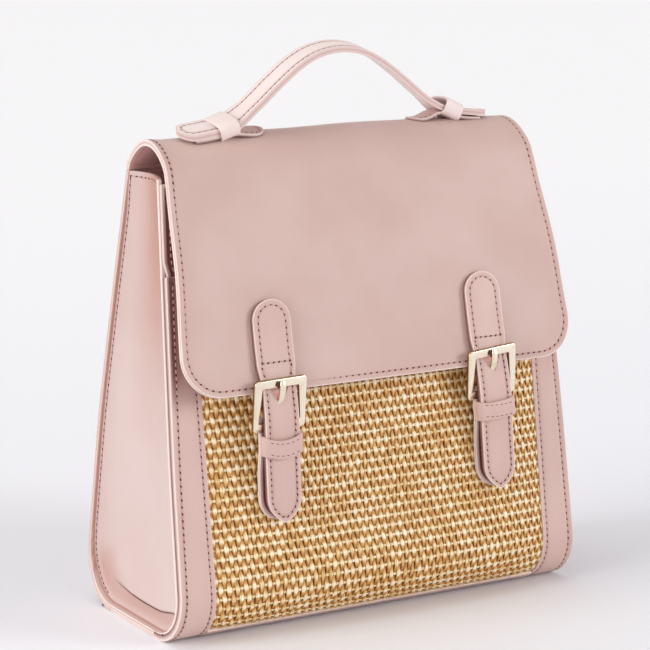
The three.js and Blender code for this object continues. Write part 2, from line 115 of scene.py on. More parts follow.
def edge_spread(
    length: float, step: float, fine_start: bool = True, fine_end: bool = True
) -> list[float]:
    """Places along a length, close together near a sewn end and evenly spaced between.

    Args:
        length: the whole length.
        step: the spacing in the middle.
        fine_start: whether the places crowd at the start.
        fine_end: whether the places crowd at the end.

    Returns:
        The places, from 0 to length.
    """
    fine = [d for d in EDGE_STEPS if d < length * 0.4]
    start = fine if fine_start else [0.0]
    end = [length - d for d in reversed(fine)] if fine_end else [length]
    count = max(1, round((end[0] - start[-1]) / step))
    return start + spread(start[-1], end[0], count)[1:-1] + end


@dataclass(frozen=True)
class Spot:
    """A place on a side profile: its Y and Z, and the way the profile runs there."""

    y: float
    z: float
    heading: float


class LegProfile:
    """A side profile made of straight legs and arcs that follow on from each other."""

    def __init__(self, start: Spot, legs: Sequence[tuple[float, float]]) -> None:
        """Walks the legs once.

        Args:
            start: where the profile begins.
            legs: run and radius of each leg; a radius of 0 is a straight leg.
        """
        self.legs: list[tuple[float, float, Spot]] = []
        spot, along = start, 0.0
        for run, radius in legs:
            self.legs.append((along, radius, spot))
            spot = self.walk(spot, radius, run)
            along += run
        self.length = along

    @staticmethod
    def walk(spot: Spot, radius: float, run: float) -> Spot:
        """The place a run further along a leg that starts at a spot."""
        if not radius:
            y, z = run * math.cos(spot.heading), run * math.sin(spot.heading)
            return Spot(spot.y + y, spot.z + z, spot.heading)
        heading = spot.heading + run / radius
        y = spot.y + radius * (math.sin(heading) - math.sin(spot.heading))
        z = spot.z - radius * (math.cos(heading) - math.cos(spot.heading))
        return Spot(y, z, heading)

    def at(self, along: float) -> Spot:
        """The place at a distance along the profile."""
        chosen = self.legs[0]
        for leg in self.legs:
            if leg[0] <= along:
                chosen = leg
        return self.walk(chosen[2], chosen[1], along - chosen[0])


class SmoothProfile:
    """A side profile that runs smoothly through a few points."""

    FINENESS = 24

    def __init__(self, points: Sequence[tuple[float, float]]) -> None:
        """Measures the curve once.

        Args:
            points: the Y and Z of each point, in order.
        """
        ends = [points[0], *points, points[-1]]
        self.dots: list[Vector] = []
        for i in range(len(points) - 1):
            corner = [Vector(p) for p in ends[i : i + 4]]
            for k in range(self.FINENESS):
                self.dots.append(self.between(corner, k / self.FINENESS))
        self.dots.append(Vector(points[-1]))
        self.places = [0.0]
        for a, b in zip(self.dots, self.dots[1:]):
            self.places.append(self.places[-1] + (b - a).length)
        self.length = self.places[-1]

    @staticmethod
    def between(corner: Sequence[Vector], t: float) -> Vector:
        """A point between the middle two of four corners."""
        before, low, high, after = corner
        slope_low, slope_high = (high - before) / 2, (after - low) / 2
        cubic = 2 * (low - high) + slope_low + slope_high
        square = 3 * (high - low) - 2 * slope_low - slope_high
        return ((cubic * t + square) * t + slope_low) * t + low

    def at(self, along: float) -> Spot:
        """The place at a distance along the profile, carried on straight past its ends."""
        low = min(max(bisect_right(self.places, along) - 1, 0), len(self.places) - 2)
        a, b = self.dots[low], self.dots[low + 1]
        share = (along - self.places[low]) / (self.places[low + 1] - self.places[low])
        before = self.dots[max(0, low - 1)]
        after = self.dots[min(len(self.dots) - 1, low + 2)]
        inside = min(1.0, max(0.0, share))
        turn = (b - before).normalized().lerp((after - a).normalized(), inside)
        point = a.lerp(b, share)
        return Spot(point.x, point.y, math.atan2(turn.y, turn.x))


Profile = LegProfile | SmoothProfile


def nothing(*_: float) -> float:
    """No shift anywhere."""
    return 0.0


@dataclass
class Drape:
    """Lays a flat cut of leather, measured across, along and out, on a side profile.

    Attributes:
        profile: the side profile that the cut follows.
        middle: the X of the cut's middle line at each distance along.
        lift: how far the surface stands proud at an X and Z.
        twist: how far the cut rises for each millimetre across, at each distance along.
        turned: whether the profile runs along X and the cut lies across Y.
        skew: how far a turned cut moves along Y for each millimetre of X.
    """

    profile: Profile
    middle: Callable[[float], float] = nothing
    lift: Callable[[float, float], float] = nothing
    twist: Callable[[float], float] = nothing
    turned: bool = False
    skew: float = 0.0

    def place(self, across: float, along: float, out: float) -> Vector:
        """Where a point of the flat cut comes to lie."""
        spot = self.profile.at(along)
        x = across + self.middle(along)
        rise = out + self.lift(x, spot.z) + across * self.twist(along)
        y = spot.y + rise * math.sin(spot.heading)
        z = spot.z - rise * math.cos(spot.heading)
        return Vector((-y, x - self.skew * y, z)) if self.turned else Vector((x, y, z))


# Meshes


def grid_verts(
    bm: bmesh.types.BMesh, wide: int, long: int
) -> Iterator[tuple[bmesh.types.BMVert, int, int]]:
    """Adds a flat grid and goes through its vertices.

    Args:
        bm: the mesh that takes the grid.
        wide: how many faces it has across.
        long: how many faces it has along.

    Yields:
        Each vertex, with its column and its row.
    """
    made = bmesh.ops.create_grid(bm, x_segments=wide, y_segments=long, size=0.5)["verts"]
    for vert in made:
        yield vert, round((vert.co.x + 0.5) * wide), round((vert.co.y + 0.5) * long)


def thicken(bm: bmesh.types.BMesh, way: Sequence[float]) -> list[bmesh.types.BMVert]:
    """Gives a sheet thickness by pushing a copy of it one way.

    Args:
        bm: the sheet.
        way: how far and which way the copy moves.

    Returns:
        The copy's vertices.
    """
    made = bmesh.ops.extrude_face_region(bm, geom=bm.faces[:])["geom"]
    moved = [v for v in made if isinstance(v, bmesh.types.BMVert)]
    bmesh.ops.translate(bm, vec=way, verts=moved)
    bmesh.ops.recalc_face_normals(bm, faces=bm.faces[:])
    return moved


def weld(bm: bmesh.types.BMesh, reach: float, capped: bool = True) -> None:
    """Welds rolled-up grids and turns their faces outwards.

    Args:
        bm: the mesh of the grids.
        reach: how close two vertices are when they become one.
        capped: whether their open ends are filled.
    """
    bmesh.ops.remove_doubles(bm, verts=bm.verts[:], dist=reach)
    if capped:
        bmesh.ops.holes_fill(bm, edges=[e for e in bm.edges if e.is_boundary], sides=0)
    bmesh.ops.recalc_face_normals(bm, faces=bm.faces[:])


def round_section(count: int = 6) -> list[Vector]:
    """The points of a round section."""
    return [Vector((math.cos(a), math.sin(a))) for a in spread(0, 2 * math.pi, count)[:-1]]


def round_over(
    bm: bmesh.types.BMesh, edges: Sequence[bmesh.types.BMEdge], radius: float, segments: int
) -> None:
    """Rounds edges off.

    Args:
        bm: the mesh that they belong to.
        edges: the edges.
        radius: how far the rounding reaches.
        segments: how many faces it has across.
    """
    bmesh.ops.bevel(
        bm,
        geom=edges,
        offset=radius,
        offset_type="OFFSET",
        segments=segments,
        profile=0.5,
        affect="EDGES",
        material=-1,
        clamp_overlap=True,
    )


@dataclass(frozen=True)
class Row:
    """One row of a flat cut: its place along, its middle and its half width."""

    along: float
    half: float
    middle: float = 0.0


def round_end(
    half: float, length: float, steps: int = 9, blunt: float = 0.06
) -> list[tuple[float, float]]:
    """The rows of a rounded strap end, from the tip inwards.

    Args:
        half: half the strap's width.
        length: how far the rounding reaches from the tip.
        steps: how many rows it has.
        blunt: the share of the rounding that the tip is cut off at.

    Returns:
        The distance from the end and the half width of each row.
    """
    angles = [lerp(blunt, 1, i / steps) * QUARTER for i in range(steps + 1)]
    return [(length * (1 - math.cos(a)), half * math.sin(a)) for a in angles]


def pointed_end(half: float, length: float, steps: int = 11) -> list[tuple[float, float]]:
    """The rows of a pointed strap end, from the tip inwards.

    Args:
        half: half the strap's width.
        length: how far the point reaches from the tip.
        steps: how many rows it has.

    Returns:
        The distance from the end and the half width of each row.
    """
    rows = []
    for i in range(steps + 1):
        share = 1 - math.cos(lerp(0.12, 1, i / steps) * QUARTER)
        rows.append((length * share, half * (1 - (1 - share) ** 2.2) ** 0.8))
    return rows


def outline_of(rows: Sequence[Row]) -> list[Vector]:
    """The closed outline of a flat cut, down one side and back up the other."""
    left = [Vector((r.middle - r.half, r.along)) for r in rows]
    right = [Vector((r.middle + r.half, r.along)) for r in reversed(rows)]
    return left + right


def resampled(points: Sequence[Vector], step: float, closed: bool) -> list[Vector]:
    """The same line with evenly spaced points.

    Args:
        points: the line's points.
        step: the wanted spacing, which is met as nearly as a whole number of steps can.
        closed: whether the last point joins the first.

    Returns:
        The new points; a closed line doesn't repeat its first.
    """
    line = list(points) + ([points[0]] if closed else [])
    places = [0.0]
    for a, b in zip(line, line[1:]):
        places.append(places[-1] + (b - a).length)
    count = max(1, round(places[-1] / step))
    result, k = [], 0
    for i in range(count if closed else count + 1):
        along = places[-1] * i / count
        while k < len(places) - 2 and places[k + 1] < along:
            k += 1
        span = places[k + 1] - places[k]
        result.append(line[k].lerp(line[k + 1], (along - places[k]) / span if span else 0.0))
    return result


def tree_of(points: Sequence[Vector]) -> kdtree.KDTree:
    """A search tree of flat points."""
    tree = kdtree.KDTree(len(points))
    for i, p in enumerate(points):
        tree.insert((p.x, p.y, 0), i)
    tree.balance()
    return tree


def inset_path(outline: Sequence[Vector], inset: float) -> list[Vector]:
    """A closed line inside an outline, everywhere the same distance from it.

    Args:
        outline: the closed outline.
        inset: the distance.

    Returns:
        The points of the inner line, in order.
    """
    ring = resampled(outline, 0.8, True)
    tree = tree_of(ring)
    area = sum(a.x * b.y - b.x * a.y for a, b in zip(ring, ring[1:] + ring[:1]))
    turn = 1 if area > 0 else -1
    kept = []
    for i, point in enumerate(ring):
        run = (ring[(i + 1) % len(ring)] - ring[i - 1]).normalized()
        inner = point + Vector((-run.y, run.x)) * inset * turn
        if tree.find((inner.x, inner.y, 0))[2] > inset * 0.97:
            kept.append(inner)
    return kept


def runs_where(path: Sequence[Vector], keep: Callable[[Vector], bool]) -> list[list[Vector]]:
    """The unbroken parts of a closed path whose points pass a test."""
    marks = [keep(p) for p in path]
    if all(marks):
        return [list(path) + [path[0]]]
    first = next((i for i, m in enumerate(marks) if m and not marks[i - 1]), None)
    if first is None:
        return []
    runs: list[list[Vector]] = []
    run: list[Vector] = []
    for i in range(len(path)):
        k = (first + i) % len(path)
        if marks[k]:
            run.append(path[k])
        elif run:
            runs.append(run)
            run = []
    return runs + ([run] if run else [])


@dataclass
class Cut:
    """A flat cut of leather with thickness, rounded edges and a groove between its two layers.

    Attributes:
        rows: the rows of the cut.
        columns: where the columns lie, as shares of the half width from -1 to 1.
        thickness: the leather's thickness.
        face: how far the outer face lies out from the profile.
        round_off: the radius of the edges.
        groove: the depth of the line between the two layers on the edge.
        seam: the distance of the sewn groove from the edge, or 0 for none.
        seam_depth: how deep the sewn groove is.
        wave: the height of the leather's soft unevenness.
        foot: how dark the painted shade on the edge is where it meets what it lies on.
        line: how dark the line between the two layers is.
        lined: whether the underside takes the second material.
        upper: how deep the painted shade on the face is.
        upper_from: how far from the edge that painted shade begins.
    """

    rows: Sequence[Row]
    columns: Sequence[float]
    thickness: float
    face: float = 0.0
    round_off: float = 0.5
    groove: float = 0.3
    seam: float = 3.0
    seam_depth: float = 0.32
    wave: float = 0.0
    foot: float = 0.0
    line: float = 0.3
    lined: bool = False
    upper: float = 0.0
    upper_from: float = 1.4
    outline: list[Vector] = field(init=False)

    def __post_init__(self) -> None:
        """Keeps the outline, which the stitches follow."""
        self.outline = outline_of(self.rows)

    def relief(self, distance: float) -> float:
        """How far the face is pressed in or puffed up at a distance from the edge."""
        if not self.seam:
            return 0.0
        pressed = math.exp(-(((distance - self.seam) / 0.8) ** 2))
        return -self.seam_depth * pressed

    def flat(self) -> bmesh.types.BMesh:
        """Makes the flat shell, with the distance to the edge kept on every vertex.

        Returns:
            A closed mesh whose X, Y and Z are across, along and out.
        """
        bm = bmesh.new()
        for vert, i, j in grid_verts(bm, len(self.columns) - 1, len(self.rows) - 1):
            row = self.rows[j]
            vert.co = (row.middle + row.half * self.columns[i], row.along, 0)
        thicken(bm, (0, 0, -self.thickness))
        for face in bm.faces:
            face.material_index = int(self.lined and face.normal.z < -0.9)
        self.shape_edges(bm)
        self.press(bm)
        return bm

    def shape_edges(self, bm: bmesh.types.BMesh) -> None:
        """Splits the edge into two layers and rounds both of them off."""
        if self.groove:
            half = self.thickness / 2
            upright = [e for e in bm.edges if abs(e.verts[0].co.z - e.verts[1].co.z) > half]
            bmesh.ops.subdivide_edges(bm, edges=upright, cuts=3, use_grid_fill=True)
            bm.normal_update()
            middle = [v for v in bm.verts if abs(v.co.z + half) < self.thickness * 0.1]
            for vert in middle:
                vert.co -= vert.normal * self.groove
        bm.normal_update()
        ends = (0.0, -self.thickness)
        sharp = [
            e
            for e in bm.edges
            if len(e.link_faces) == 2
            and any(all(abs(v.co.z - z) < FLUSH for v in e.verts) for z in ends)
            and min(abs(f.normal.z) for f in e.link_faces) < 0.7
        ]
        round_over(bm, sharp, self.round_off, 2)

    def press(self, bm: bmesh.types.BMesh) -> None:
        """Presses in the sewn groove, adds the soft unevenness and moves the face to its place."""
        edge = bm.verts.layers.float.new("edge_mm")
        fold = bm.verts.layers.float.new("fold")
        tree = tree_of(resampled(self.outline, 0.4, True))
        for vert in bm.verts:
            distance = tree.find((vert.co.x, vert.co.y, 0))[2]
            vert[edge] = distance
            # Painted shade on the face and at the edge's foot, and the dark line between the two
            # layers
            vert[fold] = self.tone(-vert.co.z / self.thickness, distance)
            upper = vert.co.z > -self.thickness * 0.5
            away = min(1.0, distance / 12)
            place = Vector((vert.co.x * 0.02, vert.co.y * 0.02, self.thickness))
            uneven = noise.noise(place) * away
            vert.co.z += self.face + self.wave * uneven + (self.relief(distance) if upper else 0.0)

    def tone(self, depth: float, distance: float) -> float:
        """How deep the painted shade and the dark line between the layers are, at a share of the
        thickness and a distance from the edge.
        """
        if distance > 1.2:
            inside = smoothstep(distance, self.upper_from, self.upper_from + 1.0)
            return self.upper * inside * (depth < 0.5)
        groove = self.line if abs(depth - 0.5) < 0.1 and self.groove else 0.0
        return max(groove, self.foot * smoothstep(depth, 0.3, 0.6))

    def laid(self, drape: Drape) -> bmesh.types.BMesh:
        """The shell laid on its profile, with its faces pointing outwards."""
        bm = self.flat()
        for vert in bm.verts:
            vert.co = drape.place(*vert.co)
        bmesh.ops.recalc_face_normals(bm, faces=bm.faces[:])
        return bm


def swept(section: Sequence[Vector], stations: Sequence[Matrix], closed: bool) -> bmesh.types.BMesh:
    """Carries a closed section along stations and welds it into one skin.

    Args:
        section: the section's points, in the plane of each station.
        stations: where each copy of the section stands.
        closed: whether the last station joins the first; otherwise the ends are capped.

    Returns:
        A closed mesh.
    """
    bm = bmesh.new()
    edge = bm.verts.layers.float.new("edge_mm")
    around, count = len(section), len(stations)
    for vert, i, j in grid_verts(bm, around, count if closed else count - 1):
        vert[edge] = 6.0
        vert.co = stations[j % count] @ section[i % around].to_3d()
    weld(bm, SWEEP_WELD, capped=not closed)
    return bm


def station(point: Vector, run: Vector, out: Vector) -> Matrix:
    """A station at a point: its section's X lies across, its Y points out, and Z runs along."""
    ahead = run.normalized()
    across = out.cross(ahead).normalized()
    upright = ahead.cross(across)
    turn = Matrix((across, upright, ahead)).transposed().to_4x4()
    return Matrix.Translation(point) @ turn


def rounded_box(
    half_width: float, half_height: float, corner: float, steps: int = 3
) -> list[Vector]:
    """The outline of a rectangle with rounded corners.

    Args:
        half_width: half its width.
        half_height: half its height.
        corner: the corners' radius.
        steps: how many steps each corner has.

    Returns:
        The points, anticlockwise.
    """
    points = []
    for k, (sx, sy) in enumerate(((1, 1), (-1, 1), (-1, -1), (1, -1))):
        centre = Vector((sx * (half_width - corner), sy * (half_height - corner)))
        for angle in spread(k * QUARTER, (k + 1) * QUARTER, steps):
            points.append(centre + corner * Vector((math.cos(angle), math.sin(angle))))
    return points


# Materials


class Tree:
    """A short way to add nodes to one node tree and link them."""

    def __init__(self, tree: bpy.types.NodeTree) -> None:
        """Keeps the tree."""
        self.tree = tree

    def feed(self, node: bpy.types.Node, inputs: dict[str | int, object]) -> None:
        """Sets a node's inputs.

        Args:
            node: the node.
            inputs: a value by the name or number of its socket; a socket given here is linked to.
        """
        for name, value in inputs.items():
            if isinstance(value, bpy.types.NodeSocket):
                self.tree.links.new(value, node.inputs[name])
            else:
                node.inputs[name].default_value = value

    def add(self, kind: str, inputs: Optional[dict] = None, **settings: object) -> bpy.types.Node:
        """Adds a node.

        Args:
            kind: the node's type name without its ShaderNode prefix.
            inputs: the values or links of its sockets.
            settings: the node's own properties.

        Returns:
            The new node.
        """
        node = self.tree.nodes.new(kind if kind.startswith("Node") else f"ShaderNode{kind}")
        for name, value in settings.items():
            setattr(node, name, value)
        self.feed(node, inputs or {})
        return node

    def mix(self, factor: object, low: object, high: object) -> bpy.types.NodeSocket:
        """A colour mixed from two others by a factor."""
        return self.add("Mix", {0: factor, 6: low, 7: high}, data_type="RGBA").outputs[2]

    def math(self, operation: str, a: object, b: object = 0.0) -> bpy.types.NodeSocket:
        """One arithmetic step."""
        return self.add("Math", {0: a, 1: b}, operation=operation).outputs[0]

    def ease(self, value: object, *ends: float) -> bpy.types.NodeSocket:
        """A value carried smoothly from one range to another, given as the four ends of the two."""
        names = ("Value", "From Min", "From Max", "To Min", "To Max")
        inputs = dict(zip(names, (value, *ends)))
        return self.add("MapRange", inputs, interpolation_type="SMOOTHSTEP").outputs[0]

    def bump(self, height: object, strength: float, distance: float) -> bpy.types.NodeSocket:
        """A normal raised by a height."""
        inputs = {"Height": height, "Strength": strength, "Distance": distance}
        return self.add("Bump", inputs).outputs[0]

    def attribute(self, name: str, output: str = "Fac") -> bpy.types.NodeSocket:
        """A value that the piece's mesh carries."""
        return self.add("Attribute", attribute_name=name).outputs[output]


Colour = tuple[float, float, float, float]


def new_group(
    name: str, inputs: dict[str, str], outputs: dict[str, str]
) -> tuple[Tree, bpy.types.Node, bpy.types.Node]:
    """An empty shader node group with named sockets.

    Args:
        name: the group's name.
        inputs: the kind of each input, by its name.
        outputs: the kind of each output, by its name.

    Returns:
        The group's tree, and its input and output nodes.
    """
    group = bpy.data.node_groups.new(name, "ShaderNodeTree")
    for in_out, sockets in (("INPUT", inputs), ("OUTPUT", outputs)):
        for socket, kind in sockets.items():
            group.interface.new_socket(socket, in_out=in_out, socket_type=f"NodeSocket{kind}")
    tree = Tree(group)
    return tree, tree.add("NodeGroupInput"), tree.add("NodeGroupOutput")


class Effects:
    """The node groups that the finishes share, each built once."""

    def __init__(self) -> None:
        """Builds the groups."""
        self.grain = self.build_grain()
        self.edge = self.build_edge()
        self.fibre = self.build_fibre()

    @staticmethod
    def build_grain() -> bpy.types.NodeTree:
        """Leather grain: fine pores for the bump, and slow mottling for the colour."""
        tree, start, end = new_group(
            "leather_grain",
            {"Vector": "Vector", "Pore Scale": "Float", "Mottle Scale": "Float"},
            {"Height": "Float", "Mottle": "Float"},
        )
        where, pores, mottle = (start.outputs[k] for k in ("Vector", "Pore Scale", "Mottle Scale"))
        cells = tree.add("TexVoronoi", {"Vector": where, "Scale": pores}, feature="SMOOTH_F1")
        dust = tree.add("TexNoise", {"Vector": where, "Scale": pores, "Detail": 3.0})
        slow = tree.add("TexNoise", {"Vector": where, "Scale": mottle, "Detail": 4.0})
        soft = tree.math("MULTIPLY", cells.outputs["Distance"], 0.6)
        height = tree.math("ADD", soft, dust.outputs[0])
        tree.feed(end, {"Height": height, "Mottle": slow.outputs[0]})
        return tree.tree

    @staticmethod
    def build_edge() -> bpy.types.NodeTree:
        """Edge tone: a pale rim of edge paint with a painted highlight, a warmer line where the
        leather is sewn down, and painted shade.
        """
        tree, start, end = new_group(
            "edge_tone",
            {
                "Colour": "Color",
                "Rim Colour": "Color",
                "Seam Colour": "Color",
                "Fold Colour": "Color",
                "Edge": "Float",
                "Seam": "Float",
                "Fold": "Float",
            },
            {"Colour": "Color"},
        )
        given = start.outputs
        edge, seam_colour = given["Edge"], given["Seam Colour"]
        # the pale rim: edge paint, made paler still as a painted highlight
        rim = tree.ease(edge, 0.1, 0.75, 0.9, 0.0)
        away = tree.math("ABSOLUTE", tree.math("SUBTRACT", edge, given["Seam"]))
        sewn = tree.ease(away, 0.2, 1.3, 0.4, 0.0)
        blush = tree.mix(tree.ease(edge, 2.0, 18.0, 0.2, 0.0), given["Colour"], seam_colour)
        warm = tree.mix(sewn, blush, seam_colour)
        pale = tree.mix(rim, warm, given["Rim Colour"])
        # painted shade, and the dark line between layers, from the mesh's fold value
        tree.feed(end, {"Colour": tree.mix(given["Fold"], pale, given["Fold Colour"])})
        return tree.tree

    @staticmethod
    def build_fibre() -> bpy.types.NodeTree:
        """Plant fibre: long streaks that follow each strand."""
        tree, start, end = new_group(
            "plant_fibre",
            {"Strand": "Vector", "Across": "Float", "Along": "Float"},
            {"Streak": "Float", "Patch": "Float"},
        )
        across, along, number = tree.add("SeparateXYZ", {"Vector": start.outputs["Strand"]}).outputs
        fine = {
            "X": tree.math("MULTIPLY", across, start.outputs["Across"]),
            "Y": tree.math("MULTIPLY", along, start.outputs["Along"]),
            "Z": tree.math("MULTIPLY", number, 7.3),
        }
        broad = {"Y": tree.math("MULTIPLY", along, 0.09), "Z": tree.math("MULTIPLY", number, 3.1)}
        for output, place, detail in (("Streak", fine, 2.0), ("Patch", broad, 1.0)):
            where = tree.add("CombineXYZ", place).outputs[0]
            made = tree.add("TexNoise", {"Vector": where, "Scale": 1.0, "Detail": detail})
            tree.feed(end, {output: made.outputs[0]})
        return tree.tree

    def place_grain(
        self, tree: Tree, pore_scale: float, mottle_scale: float
    ) -> Sequence[bpy.types.NodeSocket]:
        """Puts the grain in a material.

        Args:
            tree: the material's nodes.
            pore_scale: how fine the pores are.
            mottle_scale: how fine the mottling is.

        Returns:
            The grain's height and its mottling.
        """
        where = tree.add("TexCoord").outputs["Object"]
        inputs = {"Vector": where, "Pore Scale": pore_scale, "Mottle Scale": mottle_scale}
        return tree.add("Group", inputs, node_tree=self.grain).outputs[:]


def new_material(name: str) -> tuple[bpy.types.Material, Tree, bpy.types.Node]:
    """A material with a shader and an output.

    Args:
        name: the material's name.

    Returns:
        The material, its tree and its shader node.
    """
    material = bpy.data.materials.new(name)
    material.use_nodes = True
    material.node_tree.nodes.clear()
    tree = Tree(material.node_tree)
    shader = tree.add("BsdfPrincipled")
    tree.add("OutputMaterial", {"Surface": shader.outputs[0]})
    return material, tree, shader


@dataclass(frozen=True)
class LeatherFinish:
    """Smooth blush leather with a soft sheen.

    Attributes:
        name: the material's name.
        colour: the leather's colour.
        shade: the colour of its darker mottling.
        rim: the colour of the pale edges: edge paint, made paler still as a painted highlight.
        seam: the colour where it is sewn down.
        fold: the colour of painted shade in folds, crevices and under other pieces, and of the dark
            line between layers.
        pore_scale: how fine the pores are.
        mottle_scale: how fine the mottling is.
        seam_distance: how far from the edge it is sewn, in millimetres.
        pore_depth: the height of the pores, in metres.
        gloss: the lowest and highest roughness.
    """

    name: str
    colour: Colour
    shade: Colour
    rim: Colour
    seam: Colour
    fold: Colour = (0.15, 0.018, 0.02, 1)
    pore_scale: float = 1500.0
    mottle_scale: float = 22.0
    seam_distance: float = 3.0
    pore_depth: float = 0.00012
    gloss: tuple[float, float] = (0.46, 0.6)

    def build(self, effects: Effects) -> bpy.types.Material:
        """Makes the material from the shared effects."""
        material, tree, shader = new_material(self.name)
        height, mottle = effects.place_grain(tree, self.pore_scale, self.mottle_scale)
        edge = {
            "Colour": tree.mix(tree.ease(mottle, 0.3, 0.75, 0.0, 1.0), self.colour, self.shade),
            "Rim Colour": self.rim,
            "Seam Colour": self.seam,
            "Fold Colour": self.fold,
            "Seam": self.seam_distance,
            # how much painted shade and dark layer line each vertex takes
            "Fold": tree.attribute("fold"),
            "Edge": tree.attribute("edge_mm"),
        }
        toned = tree.add("Group", edge, node_tree=effects.edge)
        dress = {
            "Base Color": toned.outputs["Colour"],
            "Roughness": tree.ease(mottle, 0.2, 0.8, *self.gloss),
            "Normal": tree.bump(height, 0.35, self.pore_depth),
            "Sheen Weight": 0.12,
            "Sheen Roughness": 0.45,
            "Specular IOR Level": 0.42,
        }
        tree.feed(shader, dress)
        return material


@dataclass(frozen=True)
class ThreadFinish:
    """Sewing thread, or the dark colour that paints the shade in a stitch hole's pit and along
    shadow lines.

    Attributes:
        name: the material's name.
        colour: the main colour.
        shade: the darker colour of the twist.
        roughness: how matt it is.
    """

    name: str
    colour: Colour
    shade: Colour
    roughness: float = 0.6

    def build(self, effects: Effects) -> bpy.types.Material:
        """Makes the material from the shared effects."""
        material, tree, shader = new_material(self.name)
        height, mottle = effects.place_grain(tree, 3200.0, 420.0)
        dress = {
            "Base Color": tree.mix(tree.ease(mottle, 0.3, 0.7, 0.0, 1.0), self.colour, self.shade),
            "Normal": tree.bump(height, 0.3, 0.0001),
            "Roughness": self.roughness,
        }
        tree.feed(shader, dress)
        return material


@dataclass(frozen=True)
class StrawFinish:
    """Plaited straw, with a painted highlight where a strand crests and painted shade, amber and
    brown, where it dives.

    Attributes:
        name: the material's name.
        tones: place on the crest scale and colour of each tone, from the deepest painted shade up to
            the painted highlight.
        roughness: the lowest and highest roughness.
    """

    name: str
    tones: tuple[tuple[float, Colour], ...]
    roughness: tuple[float, float] = (0.34, 0.55)

    def build(self, effects: Effects) -> bpy.types.Material:
        """Makes the material from the shared effects."""
        material, tree, shader = new_material(self.name)
        strand, crest = tree.attribute("strand", "Vector"), tree.attribute("crest")
        inputs = {"Strand": strand, "Across": 9.0, "Along": 0.22}
        streak, patch = tree.add("Group", inputs, node_tree=effects.fibre).outputs[:]
        # the crest value paints highlight and shade; streaks and patches vary the straw's own tone
        moved = tree.math("ADD", crest, tree.ease(streak, 0.25, 0.75, -0.26, 0.22))
        moved = tree.math("ADD", moved, tree.ease(patch, 0.3, 0.7, -0.12, 0.1))
        ramp = tree.add("ValToRGB", {"Fac": moved})
        while len(ramp.color_ramp.elements) < len(self.tones):
            ramp.color_ramp.elements.new(0.5)
        for element, (place, colour) in zip(ramp.color_ramp.elements, self.tones):
            element.position = place
            element.color = colour
        dress = {
            "Base Color": ramp.outputs[0],
            "Roughness": tree.ease(streak, 0.3, 0.7, *self.roughness),
            "Normal": tree.bump(streak, 0.6, 0.0003),
            "Specular IOR Level": 0.6,
        }
        tree.feed(shader, dress)
        return material


@dataclass(frozen=True)
class MetalFinish:
    """Polished pale gold plating.

    Attributes:
        name: the material's name.
        colour: the plating's colour.
        dull: the colour of its faint tarnish.
        brown: the colour of the painted dark reflection on the sides of the bars.
        roughness: the lowest and highest roughness.
    """

    name: str
    colour: Colour
    dull: Colour
    brown: Colour = (0.42, 0.25, 0.10, 1)
    roughness: tuple[float, float] = (0.2, 0.3)

    def build(self, effects: Effects) -> bpy.types.Material:
        """Makes the material from the shared effects."""
        material, tree, shader = new_material(self.name)
        _, mottle = effects.place_grain(tree, 900.0, 120.0)
        clean = tree.mix(tree.ease(mottle, 0.4, 0.7, 0.0, 1.0), self.colour, self.dull)
        dress = {
            # the bars' sides and bevels take a painted dark reflection
            "Base Color": tree.mix(tree.attribute("tarnish"), clean, self.brown),
            "Roughness": tree.ease(mottle, 0.3, 0.7, *self.roughness),
            "Normal": tree.bump(mottle, 0.1, 0.0001),
            "Metallic": 1.0,
        }
        tree.feed(shader, dress)
        return material


